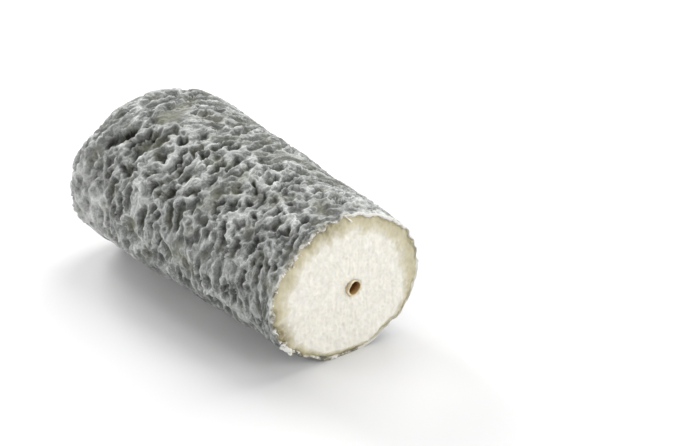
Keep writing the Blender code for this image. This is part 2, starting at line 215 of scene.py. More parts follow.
world = bpy.data.worlds.new("studio")
bpy.context.scene.world = world
world.use_nodes = True
world.node_tree.nodes["Background"].inputs["Color"].default_value = WORLD_WHITE
world.node_tree.nodes["Background"].inputs["Strength"].default_value = WORLD_STRENGTH
bpy.context.scene.view_settings.view_transform = "Standard"
bpy.context.scene.view_settings.look = "None"

# %% [markdown]
# ## Patterns on a sheet
# Folds, swells and crumble are worked out on a flat sheet that repeats at its edges, as a grid
# of heights. A filter keeps the waves of one size. Sharpening the result and filtering it again a
# few times parts it into even bands, as the skin of a drying cheese parts into folds. A noise
# texture would be quicker, but its swells are blobs and never join into folds.

# %% A sheet of pattern
CELL = 0.3 * MM
SIDE_CELLS = (420, 540)                  # cells along the log and once round it
END_CELLS = (240, 240)                   # cells of the patch that covers the far end
BAND_SPREAD = 0.42                       # spread of the bands' wave, as a share of it
BAND_ROUNDS = 3
BAND_SHARPENING = 1.2


class Sheet:
    """Patterns on a flat grid that repeats at its edges, for one patch of rind."""

    def __init__(self, cells):
        self.cells = cells
        self.along = np.fft.fftfreq(cells[0], CELL)[:, None]
        self.around = np.fft.rfftfreq(cells[1], CELL)[None, :]

    def even(self, field, wave, spread=None):
        """Keep the waves near one size, or all the longer ones, and make their usual height 1."""
        pitch = np.sqrt((self.along * wave[0]) ** 2 + (self.around * wave[1]) ** 2)
        if spread is None:
            keep = np.exp(-2.0 * pitch ** 2)
        else:
            keep = np.exp(-0.5 * ((pitch - 1.0) / spread) ** 2)
        result = np.fft.irfft2(np.fft.rfft2(field) * keep, s=self.cells)
        return result / result.std()

    def noise(self, seed, wave, spread=None):
        """Random swells of one size."""
        field = np.random.default_rng(seed).standard_normal(self.cells)
        return self.even(field, wave, spread)

    def stripes(self, seed, wave):
        """Noise that is sharpened and filtered in turn, until it parts into even bands."""
        field = np.random.default_rng(seed).standard_normal(self.cells)
        for _ in range(BAND_ROUNDS):
            field = np.tanh(BAND_SHARPENING * self.even(field, wave, BAND_SPREAD))
        return self.even(field, wave, BAND_SPREAD)


side_sheet = Sheet(SIDE_CELLS)
end_sheet = Sheet(END_CELLS)
print("the side's sheet is", [round(n * CELL / MM) for n in side_sheet.cells], "mm")

# %% [markdown]
# ## Reading a sheet
# The mesh's points don't lie on the sheet's cells. The nearest cell alone would leave steps in
# the folds, so a height is blended from the four cells round its place.


# %% Reading a sheet between its cells
def read(field, along, around):
    """The field's value at places given in metres, blended between cells."""
    rows, columns = field.shape
    row = np.asarray(along) / CELL
    column = np.asarray(around) / CELL
    low_row = np.floor(row).astype(int)
    low_column = np.floor(column).astype(int)
    part_row = row - low_row
    part_column = column - low_column
    near = field[low_row % rows, low_column % columns] * (1 - part_column)
    near += field[low_row % rows, (low_column + 1) % columns] * part_column
    far = field[(low_row + 1) % rows, low_column % columns] * (1 - part_column)
    far += field[(low_row + 1) % rows, (low_column + 1) % columns] * part_column
    return near * (1 - part_row) + far * part_row


print("half way between a 1 and a 0 it reads", float(read(np.eye(2), 0.0, CELL / 2)))

# %% [markdown]
# ## Folds of the rind
# The rind's folds are wandering ridges with hollows between them. A band pattern changes sign
# along lines that wander and close on themselves, so the height is greatest on those lines and
# falls off on both sides. Bands of two sizes, bent by small and large wobbles, give main folds
# and the branches between them. Sculpting each fold by hand would take days and fit one cheese.
# The signed bands are kept as they are, because the material needs them too: it finds each line
# more finely than the mesh can, and also which side of it looks towards the light.

# %% Signed bands for three zones
BAND_SIZES = {"main": (5, 1.0), "branch": (6, 0.62)}    # number of the draw, share of the wave
SMALL_WOBBLE = (3.5 * MM, 0.4)           # wave, and its spread as a share
LARGE_WOBBLE = (9 * MM, 0.9 * MM)        # wave and reach
VIGOUR_WAVE = 9 * MM
# Sheet, seed, wave along the log, its stretch round it, reach of the small wobbles, way to the light
ZONES = {"net": (side_sheet, 40, 6.8 * MM, 1.5, 0.50 * MM, (0.85, -0.5)),
         "ribs": (side_sheet, 60, 5.6 * MM, 2.9, 0.32 * MM, (0.9, -0.3)),
         "end": (end_sheet, 80, 6.6 * MM, 1.4, 0.40 * MM, (0.0, 1.0))}


def band_fields(sheet, seed, wave, stretch, wobble, uphill):
    """Signed bands of each size, how far they face the light, and swells in the folds' depth."""
    small, spread = SMALL_WOBBLE
    large, reach = LARGE_WOBBLE
    bent = []
    for k, place in enumerate(np.meshgrid(*[np.arange(n) * CELL for n in sheet.cells], indexing="ij")):
        place = place + wobble * sheet.noise(seed + 1 + k, (small, small), spread)
        bent.append(place + reach * sheet.noise(seed + 3 + k, (large, large)))
    fields = {"vigour": sheet.noise(seed + 7, (VIGOUR_WAVE, VIGOUR_WAVE))}
    for size, (number, share) in BAND_SIZES.items():
        band = sheet.stripes(seed + number, (share * wave, share * wave * stretch))
        fields[size] = read(band, *bent)
        slope = np.gradient(fields[size])
        facing = -(slope[0] * uphill[0] + slope[1] * uphill[1])
        fields[size + "_facing"] = facing / facing.std()
    return fields


zone_fields = {name: band_fields(*values) for name, values in ZONES.items()}
print("zones:", {name: sorted(fields) for name, fields in zone_fields.items()})

# %% [markdown]
# ## From bands to heights
# A fold is round on top and steep at its foot, and its hollow has a flat floor. So the height
# falls off slowly beside the line and then fast, branches stand lower in the hollows than on
# the main folds, and the lowest heights run out onto a common floor.

# %% Fold heights from bands
CREST_ROUND = 0.25                       # how round a crest is, as a share of a band's height
CREST_FALL = (1.45, 2.5)                 # band height at a fold's foot, and how steep it is there
MAIN_SHARE = 0.60                        # share of the depth that the main folds have
BRANCH_IN_HOLLOW = 0.42                  # height of a branch in a hollow, as a share
VIGOUR = (0.12, 0.7, 1.3)                # strength of the swells in depth, and their limits
FLOOR_LEVEL = (0.20, 0.12)               # height of the hollows' floors, and how soft they are


def crest(bands):
    """Ridges where the bands change sign, with hollows between them."""
    from_line = np.sqrt(bands ** 2 + CREST_ROUND ** 2) - CREST_ROUND
    return 1.0 - np.clip(from_line / CREST_FALL[0], 0.0, 1.0) ** CREST_FALL[1]


def fold_heights(bands):
    """Heights of the folds, from 0 to about 1."""
    main = crest(bands["main"])
    branch = crest(bands["branch"]) * (BRANCH_IN_HOLLOW + (1 - BRANCH_IN_HOLLOW) * main)
    strength, least, most = VIGOUR
    vigour = np.clip(1.0 + strength * bands["vigour"], least, most)
    folds = (MAIN_SHARE * main + (1 - MAIN_SHARE) * branch) * vigour
    level, softness = FLOOR_LEVEL
    return 0.5 * (folds + level + np.sqrt((folds - level) ** 2 + softness ** 2))


print("the net's usual height is", round(fold_heights(zone_fields["net"]).mean(), 3))

# %% [markdown]
# ## The smooth log as a surface
# Every point of the rind has two numbers: how far it lies from the cut along the outline, and
# its angle round the log. A cylinder could be scaled and sheared into this shape by hand. Two
# functions do the same, and any later row of points can ask them for its place, the inner
# wall's too.


# %% Places on the smooth log
def side_radius(reach):
    """Mean radius of the tapered side at a distance from the cut."""
    return CUT_RADIUS + (FAR_RADIUS - CUT_RADIUS) * reach / (LENGTH - EDGE_RADIUS)


def smooth_form(reach, radius, angles):
    """Points of the log without its folds, from rows of reach and radius."""
    reach = np.asarray(reach)[:, None]
    radius = np.asarray(radius)[:, None]
    side = radius * math.sqrt(SAG) * np.cos(angles)[None, :]
    rise = radius / math.sqrt(SAG) * np.sin(angles)[None, :]
    share = np.clip(reach / LENGTH, 0.0, 1.0)
    far_slopes = slopes(FAR_SLANT)
    lean_side = (1 - share) * cut_slopes[0] + share * far_slopes[0]
    lean_rise = (1 - share) * cut_slopes[1] + share * far_slopes[1]
    x = -reach + lean_side * side + lean_rise * rise
    z = axis_height(np.minimum(reach, LENGTH)) + rise
    return np.stack([x + SHIFT_X, side + SHIFT_Y + 0 * x, z + 0 * x], axis=-1)


print("half way along, the mean radius is", round(side_radius(LENGTH / 2) / MM, 1), "mm")

# %% [markdown]
# ## Outline of the log
# The outline runs along the side, round the far edge and in to the middle of the far end. The
# side gets the finest rows, because its folds show most.


# %% Outline of the log
def outline(step, end_step):
    """Rows of reach and radius from the cut to the middle of the far end."""
    places = []
    side_rows = round((LENGTH - EDGE_RADIUS) / step)
    for k in range(side_rows):
        reach = (LENGTH - EDGE_RADIUS) * k / side_rows
        places.append((reach, side_radius(reach)))
    edge_rows = round(EDGE_RADIUS * math.pi / 2 / step)
    for k in range(edge_rows):
        turn = math.pi / 2 * k / edge_rows
        places.append((LENGTH - EDGE_RADIUS * (1 - math.sin(turn)),
                       FAR_RADIUS - EDGE_RADIUS * (1 - math.cos(turn))))
    rim = FAR_RADIUS - EDGE_RADIUS
    end_rows = round(rim / end_step)
    for k in range(end_rows):
        radius = rim * (1 - k / end_rows)
        places.append((LENGTH + END_BULGE * (1 - (radius / rim) ** 2), radius))
    places.append((LENGTH + END_BULGE, 0.0))
    return np.array(places)


STEP = 0.46 * MM
END_STEP = 0.8 * MM
COLUMNS = 360
angles = np.arange(COLUMNS) * TURN / COLUMNS
rows = outline(STEP, END_STEP)
smooth = smooth_form(rows[:, 0], rows[:, 1], angles)
print("the rind's grid has", smooth.shape[0], "rows of", smooth.shape[1])

# %% [markdown]
# ## Outward directions and the knife's plane
# Folds rise square to the surface, so each point needs the direction that looks outwards there.
# The knife went a little off square. Points at the cut slide along the log until they lie in
# its plane, which leaves a true flat face, as a Boolean would, without its untidy edges.

# %% Outward directions and the knife's plane
SMALLEST = 1e-15                         # keeps the middle of the far end from a division by 0


def outward(points):
    """Unit normals of a grid of points that closes round its columns."""
    along = np.gradient(points, axis=0)
    around = np.roll(points, -1, axis=1) - np.roll(points, 1, axis=1)
    normals = np.cross(along, around)
    lengths = np.linalg.norm(normals, axis=-1, keepdims=True)
    return normals / np.maximum(lengths, SMALLEST)


def on_knife(points):
    """Move points along the log until they lie in the plane of the cut."""
    moved = np.array(points)
    moved[..., 0] = (SHIFT_X + cut_slopes[0] * (moved[..., 1] - SHIFT_Y)
                     + cut_slopes[1] * (moved[..., 2] - axis_height(0.0)))
    return moved


normals = outward(smooth)
normals[-1] = normals[-2].mean(axis=0)
print("the far end looks towards", normals[-1, 0].round(2))

# %% [markdown]
# ## Where each point lies
# The folds differ from place to place: a net on top, long ribs low down, and the far end's own.
# So each point gets its place on the sheets, and shares that say how far it belongs to a zone.
# Such shares could be painted by hand. From formulas they stay where the log's shape puts them.

# %% Where each point lies
START = 5.0 * MM                         # the cut's own place on the sheet
CROWDING = (6 * MM, 10 * MM)             # folds crowd by the cut: by how much, over what distance
END_BLEND = (1.6, 0.3)                   # how fast and how late the far end's folds set in
RIB_ANGLES = (108, 132)                  # degrees from straight down where ribs become the net


def smoothstep(value, low, high):
    """0 below low, 1 above high and an easy curve between."""
    part = np.clip((value - low) / (high - low), 0.0, 1.0)
    return part * part * (3 - 2 * part)


walked = np.concatenate([[0.0], np.cumsum(np.linalg.norm(np.diff(rows, axis=0), axis=1))])
crowded = CROWDING[0] * (1 - np.exp(-walked / CROWDING[1]))
along = (walked + crowded + START)[:, None] + 0 * angles[None, :]
around = angles[None, :] / TURN * SIDE_CELLS[1] * CELL + 0 * along
patch = (smooth[..., 1] - SHIFT_Y, smooth[..., 2])
on_end = smoothstep(-normals[..., 0] * END_BLEND[0] - END_BLEND[1], 0.0, 1.0)
below = np.degrees(np.abs((angles + math.pi / 2 + math.pi) % TURN - math.pi))
ribbed = (1 - smoothstep(below, *RIB_ANGLES))[None, :] + 0 * along
print("ribs cover", round(100 * ribbed.mean()), "percent of the grid")

# %% [markdown]
# ## Folds of every point
# The zones are mixed as bands, before they become heights, so that folds run on from one zone
# into the next. Crests lean over a little towards the cut: the heights are worked out once, and
# then again from places that are shifted by them.

# %% Folds of every point
LEAN = (-0.9 * MM, 0.4 * MM)             # how far a crest leans past its foot, along and round


def blended(first, second, share):
    """A mix of two patterns that keeps its height halfway between them."""
    return (first * (1 - share) + second * share) / np.sqrt(share ** 2 + (1 - share) ** 2)


def bands_at(lean):
    """The bands of every point: a net on top, ribs low down and the far end's own pattern."""
    place = (along - LEAN[0] * lean, around - LEAN[1] * lean)
    bands = {}
    for size in zone_fields["net"]:
        net, ribs = (read(zone_fields[zone][size], *place) for zone in ("net", "ribs"))
        on_far_end = read(zone_fields["end"][size], *patch)
        bands[size] = blended(blended(net, ribs, ribbed), on_far_end, on_end)
    return bands


bands = bands_at(fold_heights(bands_at(0.0)))
folds = fold_heights(bands)
print("the usual fold height is", round(folds.mean(), 3))

# %% [markdown]
# ## Marks with a place of their own
# Some marks make this very log: a deep pit by the far edge with a hollow and a raised flap of
# skin behind it, a smooth patch, a small pit and a crack. Each is a soft spot, round or long,
# with its place, its height and its turn. They could be sculpted, but as numbers they stay easy
# to move, and the plain model has the same.

# %% Marks with a place of their own
# Each is: mm from the cut, degrees round, height, mm long, mm wide, turn
PLATE = (75.5, 103, 0.12, 3.0, 2.6, 0)
PLATE_FIRMNESS = 1.4                     # how flat its middle is before it fades out
MARKS = ((79.0, 127, -4.2, 2.3, 1.1, 72),
         (83.2, 138, -1.7, 2.8, 1.0, 85),
         (85.8, 135.5, 1.5, 4.2, 0.6, 88),
         (71.0, 121, -1.6, 1.0, 0.8, 0),
         (49.5, 183, -1.5, 3.6, 0.5, 75))


def off_angle(middle):
    """Degrees from one angle round the log."""
    return (np.degrees(angles) - middle + 180) % 360 - 180


def beside(reach, degrees, turn):
    """Millimetres from a place, on its own two axes; turn is 0 along the log and 90 round it."""
    ahead = walked[:, None] / MM - reach
    sideways = np.radians(off_angle(degrees))[None, :] * rows[:, 1:] / MM
    tilt = math.radians(turn)
    over = ahead * math.cos(tilt) + sideways * math.sin(tilt)
    across = sideways * math.cos(tilt) - ahead * math.sin(tilt)
    return over, across


def spot(reach, degrees, length, width, turn=0.0):
    """A soft spot, 1 in its middle."""
    over, across = beside(reach, degrees, turn)
    return np.exp(-0.5 * ((over / length) ** 2 + (across / width) ** 2))


plate = np.clip(PLATE_FIRMNESS * spot(*PLATE[:2], *PLATE[3:]), 0.0, 1.0)
marked = sum(height * spot(reach, degrees, *shape) for reach, degrees, height, *shape in MARKS)
print("the deepest mark goes", round(-marked.min(), 1), "mm down")

# %% [markdown]
# ## Heights of the rind
# Each point of the smooth log is lifted or sunk along its normal by the height of the folds
# there. They are lower by the cut and at the far edge, deeper on the left and shallower on the
# right, and where the log lies on the table its own weight has pressed them flat. A Displace
# modifier does the same with a texture, but can't follow these zones.

# %% Lift of every point
FOLD_DEPTH = 2.8 * MM                    # crest to deepest hollow
FOLD_LEVEL = 0.69                        # usual height of the folds, as a share of their depth
FOLD_SINK = 0.15                         # how far that lies under the smooth form
LUMPS = (91, (20 * MM, 24 * MM))         # seed and size of the slow swells under the folds
LUMP_DEPTH = 0.38 * MM
RIB_DEPTH = 0.8                          # depth of the ribs, as a share of the net's
PLATE_CALM = 0.8                         # share of the depth that is missing on the smooth patch
PRESSED_ANGLE = 22.0                     # degrees from straight down where folds are pressed
PRESSED_SHARE = 0.12                     # share of their depth that is left there
CALM = ((0.0, 3 * MM, 0.5),              # place, reach and share of the depth that is missing
        (91 * MM, 5 * MM, 0.35))
UNEVEN_DEPTH = ((160, 35, 0.12),         # degrees round, reach in degrees, share of the depth
                (52, 32, -0.30))

folds = (folds - FOLD_LEVEL) * (1 - (1 - RIB_DEPTH) * ribbed * (1 - on_end))
folds = folds * (1 - PLATE_CALM * plate) + PLATE[2] * plate
for place, spread, share in CALM:
    folds = folds * (1 - share * np.exp(-0.5 * ((walked - place) / spread) ** 2))[:, None]
for middle, spread, share in UNEVEN_DEPTH:
    folds = folds * (1 + share * np.exp(-0.5 * (off_angle(middle) / spread) ** 2) * (1 - on_end))
swell = read(side_sheet.noise(*LUMPS), along, around) * (1 - on_end)
free = np.clip((below[None, :] - PRESSED_ANGLE / 2) / PRESSED_ANGLE, PRESSED_SHARE, 1.0)
free = np.maximum(free, on_end)
lift = ((folds - FOLD_SINK) * FOLD_DEPTH + swell * LUMP_DEPTH) * free + marked * MM
outside = smooth + normals * lift[..., None]
outside[0] = on_knife(outside[0])
outside[..., 2] = np.maximum(outside[..., 2], 0.0)
print("the rind lies", round(lift.min() / MM, 2), "to", round(lift.max() / MM, 2),
      "mm off the smooth log")

# %% [markdown]
# ## A grid that rolls up
# The rind, the paste and the straw are all skins that run once round the log. Each starts as
# a grid primitive, whose points are then laid in place. The grid's last column meets
# its first, and its first and last rows shrink to points or meet, so that merging doubles
# closes it. Numbers that the material needs are kept on the points as named attributes.

# %% A grid that rolls up
MERGE = 1e-6


def rolled(field):
    """Repeat the first column at the end, so that a grid laid on it meets itself."""
    return np.concatenate([field, field[:, :1]], axis=1)


def grid_piece(name, points, marks):
    """Roll a grid primitive up onto rows of points, and mark its points for the material."""
    points = rolled(points)
    rows, columns = points.shape[:2]
    bpy.ops.object.select_all(action="DESELECT")
    bpy.ops.mesh.primitive_grid_add(x_subdivisions=columns - 1, y_subdivisions=rows - 1, size=1)
    piece = bpy.context.object
    piece.name = name
    piece.data.name = name
    piece.data.vertices.foreach_set("co", points.reshape(-1).astype(np.float32))
    for mark, values in marks.items():
        layer = piece.data.attributes.new(mark, "FLOAT", "POINT")
        layer.data.foreach_set("value", rolled(values).reshape(-1).astype(np.float32))
    bpy.ops.object.mode_set(mode="EDIT")
    bpy.ops.mesh.select_all(action="SELECT")
    bpy.ops.mesh.remove_doubles(threshold=MERGE)
    bpy.ops.mesh.normals_make_consistent(inside=False)
    bpy.ops.object.mode_set(mode="OBJECT")
    bpy.ops.object.shade_smooth()
    print(name, "has", len(piece.data.polygons), "faces")
    return piece


print("a rolled row has", rolled(angles[None]).shape[1], "points")

# %% [markdown]
# ## Thickness of the skin
# The real rind is one closed skin, about half a millimetre thick at the cut. A solid painted in
# two colours would have no ragged rim there, so the rind gets an inner wall. Its thickness
# wavers, it is thin low on the right, and at the bottom a corner of it folds in.

# %% Thickness of the skin
THICK = 0.55 * MM
SKIN_WAVES = (95, (4 * MM, 4 * MM))      # seed and size
SKIN_UNEVEN = (0.35, 1.5)                # share by which it varies, and the most that counts
THIN_PLACE = (318, 24)                   # degrees round, and reach in degrees
THIN_SHARE = 0.6
FOLDED_PLACE = (257, 9)
FOLDED_DEPTH = 0.9 * MM


def lobe(middle, width):
    """1 at one angle round the log, in degrees, and falling off to both sides."""
    return np.exp(-0.5 * (off_angle(middle) / width) ** 2)


strength, most = SKIN_UNEVEN
uneven = strength * np.clip(read(side_sheet.noise(*SKIN_WAVES), 0 * angles, around[0]), -most, most)
skin = THICK * (1 + uneven) * (1 - THIN_SHARE * lobe(*THIN_PLACE)) + FOLDED_DEPTH * lobe(*FOLDED_PLACE)
print("the skin is", round(skin.min() / MM, 2), "to", round(skin.max() / MM, 2), "mm thick")

# %% [markdown]
# ## Inner wall of the rind
# Behind the cut nothing of the inner wall shows. It starts right under the skin and soon sinks
# to an even depth, on few rows. A Solidify modifier would be shorter, but it gives the same
# thickness all round, and its walls cross in narrow folds.

# %% Inner wall of the rind
CORE_DEPTH = 3.0 * MM
WALL_REACHES = [0.3, 0.8, 1.5, 2.5, 4.0, 6.0] + list(range(12, 85, 6))    # mm from the cut
DEEPENING = (1.0, 6.0)                   # mm from the cut over which the wall sinks
END_SHARES = np.array([1.0, 0.7, 0.4, 0.0])


def inner_wall(gap):
    """Rows of the rind's inner wall, from the cut back to the middle of the far end."""
    walls = []
    for reach in WALL_REACHES:
        row = int(np.argmin(np.abs(rows[:, 0] - reach * MM)))
        deep = smoothstep(reach, *DEEPENING)
        depth = (lift[row] - skin) * (1 - deep) - CORE_DEPTH * deep - gap
        walls.append(smooth[row] + normals[row] * depth[:, None])
    inner_radius = END_SHARES * (FAR_RADIUS - EDGE_RADIUS)
    end = smooth_form([LENGTH - CORE_DEPTH - gap] * len(END_SHARES), inner_radius, angles)
    walls = np.concatenate([np.array(walls), end])
    walls[..., 2] = np.maximum(walls[..., 2], THICK + gap)
    return walls


def under_skin(gap):
    """The row in the cut that lies under the skin."""
    row = smooth[0] + normals[0] * (lift[0] - skin - gap)[:, None]
    row[..., 2] = np.maximum(row[..., 2], THICK + gap)
    return on_knife(row)


inside = inner_wall(0.0)
print("the inner wall has", len(inside), "rows")

# %% [markdown]
# ## Marks for the rind's material
# The colour of the rind follows its form: painted highlight on the crests, painted shade in the
# hollows and in the pit, white bloom in some places, torn edges on the flap. Painting a picture onto
# it would need a UV map and a large image. Instead each point carries a few numbers, and the material
# reads them.

# %% Marks for the rind's material
# Each patch of bloom is: mm from the cut, degrees round, amount, mm long, mm wide
BLOOM = ((84, 190, 0.95, 14, 14), (68, 216, 0.6, 26, 5), (0.5, 38, 1.5, 2.4, 14),
         (8, 60, 0.45, 8, 14), (20, 155, 0.30, 14, 12), (0, 172, 0.5, 1.5, 14),
         (0, 316, 1.9, 2.5, 12))
# Each torn edge is: mm from the cut, degrees round, mm long, turn
EDGES = ((85.8, 135.5, 4.6, 88), (84.0, 149.5, 2.4, 132))
# a pit is darkened as painted shade between these depths
PIT_DEPTHS = (0.7, 1.7)                  # mm down where a pit starts to go black and is black
HEIGHT_MIDDLE = 0.5                      # what the usual height of the folds reads as
LINE_MARKS = ("main", "branch", "main_facing", "branch_facing")
covered = np.zeros((len(inside) + 1, COLUMNS))


def down_inside(outer, inner):
    """One value a point: the outside's from the far end to the cut, then the inner wall's."""
    return np.concatenate([outer[::-1], inner + covered])


bloom = sum(amount * spot(reach, degrees, *shape) for reach, degrees, amount, *shape in BLOOM)
surface = {"bloom": bloom, "pit": smoothstep(-marked, *PIT_DEPTHS), "plate": plate}
for number, (reach, degrees, length, turn) in enumerate(EDGES):
    over, across = beside(reach, degrees, turn)
    surface["off_edge_" + str(number)] = across
    surface["along_edge_" + str(number)] = over / length
rind_marks = {name: down_inside(values, values[:1]) for name, values in surface.items()}
# the height also sets the rind's grey, with painted shade in the hollows and painted highlight on the
# crests
rind_marks["height"] = down_inside(folds + HEIGHT_MIDDLE, 0.0)
rind_marks["reach"] = down_inside(walked[:, None] / LENGTH + 0 * folds, 0.0)
for name in LINE_MARKS:
    rind_marks[name] = down_inside(bands[name], 1.0)
print("the rind's points carry", sorted(rind_marks))

# %% [markdown]
# ## Rind
# All is ready for the rind: a cup with a double wall. Its rows run from the middle of the far
# end along the outside to the cut, over the rim and back along the inside. It takes the place
# of the plain cheese, together with the paste that comes next.

# %% Rind
rind_rows = np.concatenate([outside[::-1], under_skin(0.0)[None], inside])
rind = grid_piece("rind", rind_rows, rind_marks)
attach(rind, BODY)
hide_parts("cheese")

# %% [markdown]
# ## Face of the paste
# The paste shows only at the cut. A flat disc would look like plastic: fresh curd tears into
# fine crumbs, the knife leaves faint upright marks, and the face sinks a little where it dries
# under the rind and wears where the straw pulls at it. So the face is made of rings of points
# from the straw's bore to the rind, and those depths are added up on them, in millimetres.

# %% Face of the paste
GAP = 0.03 * MM                          # between paste and rind
BORE_RADIUS = STRAW_DIAMETER / 2 + 0.14 * MM
BORE_SHIFT = -0.06 * MM                  # the bore lies a little left of the straw
FACE_RINGS = 62
CRUMBLE = (201, (1.6 * MM, 1.6 * MM), 0.5)
PITS = (202, (3.0 * MM, 3.0 * MM))
KNIFE_MARKS = (203, (12 * MM, 1.3 * MM), 0.4)
CRUMBLE_DEPTH = 0.10
PIT_DEPTH = 0.25
PIT_STRENGTHS = (1.5, 3.0)               # only the highest swells of that pattern become pits
KNIFE_DEPTH = 0.06
FACE_SINK = 0.10
DRY_SINK = 0.35
DRY_REACH = 1.2 * MM
WORN_SINK = 0.45
WORN_REACH = 0.8 * MM
WORN_PLACE = (170, 50)

bore_middle = on_knife(np.array(in_face))
bore = np.stack([0 * angles, BORE_RADIUS * np.cos(angles), BORE_RADIUS * np.sin(angles)], axis=-1)
bore = on_knife(bore_middle + bore + np.array(right * BORE_SHIFT))
edge = under_skin(GAP)
shares = np.linspace(0.0, 1.0, FACE_RINGS)[:, None, None]
face = bore[None] * (1 - shares) + edge[None] * shares
to_rind = np.linalg.norm(edge[None] - face, axis=-1)
to_bore = np.linalg.norm(face - bore[None], axis=-1)
# the worn groove by the straw: it sinks the face, and its darker tan in the paste is painted shade
worn_groove_and_shade = np.exp(-to_bore / WORN_REACH) * lobe(*WORN_PLACE)[None, :]
face_patch = (face[..., 2], face[..., 1] - SHIFT_Y)
crumble, pits, knife_marks = (read(end_sheet.noise(*pattern), *face_patch)
                              for pattern in (CRUMBLE, PITS, KNIFE_MARKS))
relief = CRUMBLE_DEPTH * crumble + KNIFE_DEPTH * knife_marks
relief = relief - PIT_DEPTH * smoothstep(pits, *PIT_STRENGTHS) - FACE_SINK
relief = relief - DRY_SINK * (1 - smoothstep(to_rind, 0.0, DRY_REACH)) - WORN_SINK * worn_groove_and_shade
face[..., 0] += relief * MM
print("the face's relief goes from", round(relief.min(), 2), "to", round(relief.max(), 2), "mm")

# %% [markdown]
# ## Paste
# Behind its face the paste is a plug: it follows the inside of the rind with a small gap, closes at
# the back, and comes forward again along the straw's bore. Under the rind it ripens to a creamy band
# that is wider in some places. So each point of the face carries its distance from the rind in widths
# of that band, how far it is stained, and how far it lies in the worn groove by the straw, where the
# material paints shade.

# %% Paste
BACK_SHARES = (0.5, 1.0)
BORE_SHARES = (0.3, 0.6, 0.8, 0.95, 1.0)
CREAM_WIDTH = 0.35                       # mm, and what is added to it: angle, reach, mm
CREAM_PLACES = ((12, 26, 1.3), (88, 26, 1.2), (163, 26, 1.35), (214, 12, 0.5))
STAIN_REACH = 2.6 * MM
STAIN_PLACES = ((202, 8, 1.8), (106, 9, 1.4))
FAR_UNDER = 20.0                         # what the hidden sides read as

side_wall = inner_wall(GAP)[:-len(END_SHARES)]
back_rim = side_wall[-1]
way = np.array(straw_way)
bore_back = bore + way * ((back_rim[:, 0].mean() - bore[:, 0].mean()) / way[0])
back_wall = np.stack([back_rim * (1 - share) + bore_back * share for share in BACK_SHARES])
bore_wall = np.stack([bore_back * (1 - share) + face[0] * share for share in BORE_SHARES])
paste_rows = np.concatenate([face, side_wall, back_wall, bore_wall])

creamy = CREAM_WIDTH + sum(width * lobe(*place) for *place, width in CREAM_PLACES)
stain = sum(amount * np.exp(-to_rind / STAIN_REACH) * lobe(*place)[None, :]
            for *place, amount in STAIN_PLACES)
paste_marks = {}
for name, values, hidden in (("under_rind", to_rind / MM / creamy[None, :], FAR_UNDER),
                             ("worn_groove_and_shade", worn_groove_and_shade, 0.0), ("tan", stain, 0.0)):
    paste_marks[name] = np.full(paste_rows.shape[:2], hidden)
    paste_marks[name][:FACE_RINGS] = values
paste = grid_piece("paste", paste_rows, paste_marks)
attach(paste, BODY)
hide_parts("cheese")

# %% [markdown]
# ## Rings of the straw
# The straw is a rye stem: a thin-walled tube with fine ribs along it and a slightly torn end. A
# cylinder with a Solidify modifier would be smooth and cut dead square. So it is built up from
# rings round its own line, whose radius carries the ribs and whose place carries the tears.

# %% Rings of the straw
STRAW_COLUMNS = 64
STRAW_SEED = 7
RIB_COUNT = 19
RIB_HEIGHTS = (0.035 * MM, 0.02 * MM)    # even ribs, and what is random in them
TEAR_COUNT = 3
TEAR_PHASE = 1
TEAR_DEPTHS = (0.10 * MM, 0.05 * MM)     # even waves of the torn end, and what is random in them
straw_angles = np.arange(STRAW_COLUMNS) * TURN / STRAW_COLUMNS
turn_to = straw_way.to_track_quat("Z", "Y").to_matrix()
sideways = np.array(turn_to.col[0])
upwards = np.array(turn_to.col[1])
rng = np.random.default_rng(STRAW_SEED)
ribs = RIB_HEIGHTS[0] * np.cos(straw_angles * RIB_COUNT)
ribs = ribs + RIB_HEIGHTS[1] * rng.standard_normal(STRAW_COLUMNS)
torn = TEAR_DEPTHS[0] * np.cos(straw_angles * TEAR_COUNT + TEAR_PHASE)
torn = torn + TEAR_DEPTHS[1] * rng.standard_normal(STRAW_COLUMNS)


def straw_ring(radius, share):
    """A ring of the straw, at a share of its length from the cut."""
    place = torn * (1 - share) + 2 * straw_half * share
    ring = np.array(straw_cut_end)[None] + np.array(straw_way)[None] * place[:, None]
    ring = ring + sideways[None] * (radius * np.cos(straw_angles))[:, None]
    return ring + upwards[None] * (radius * np.sin(straw_angles))[:, None]


print("the straw's ribs are", round(np.ptp(ribs) / MM, 2), "mm high, its tears",
      round(np.ptp(torn) / MM, 2), "mm deep")

# %% [markdown]
# ## Straw
# The rings follow each other outside, over the end and back through the bore, closer together
# near both ends, where they show. One mark on the points tells the bore from the outside, and
# another how far in a point lies.

# %% Straw
STRAW_ROWS = 40
OUTER_RADIUS = STRAW_DIAMETER / 2 - 0.03 * MM
RIB_INSIDE = 0.3                         # how much of a rib shows inside
shares = (1 - np.cos(np.linspace(0.0, math.pi, STRAW_ROWS))) / 2
outer_rings = [straw_ring(OUTER_RADIUS + ribs, share) for share in shares]
bore_rings = [straw_ring(STRAW_BORE / 2 + RIB_INSIDE * ribs, share) for share in shares[::-1]]
straw_rows = np.array(outer_rings + bore_rings + outer_rings[:1])
in_bore = np.zeros(straw_rows.shape[:2])
in_bore[STRAW_ROWS:-1] = 1.0
depth = np.minimum(shares, 1 - shares) * 2 * straw_half / MM
depth = np.concatenate([depth, depth[::-1], depth[:1]])[:, None] + 0 * in_bore
straw = grid_piece("straw_tube", straw_rows, {"bore": in_bore, "depth": depth})
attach(straw, BODY)
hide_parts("straw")

# %% [markdown]
# ## One crumb
# A knife that tears the skin leaves crumbs of mould and curd along the rim. A particle system
# could scatter copies of one crumb, but these are few and close to the eye. Each starts as a
# small ball of triangles, which is turned, stretched and roughened, and none sinks into the
# table.

# %% One crumb
CRUMB_SEED = 31
CRUMB_ROUGHNESS = 0.22
face_out = Vector((1.0, -cut_slopes[0], -cut_slopes[1])).normalized()
crumb_rng = np.random.default_rng(CRUMB_SEED)
lumps_made = []


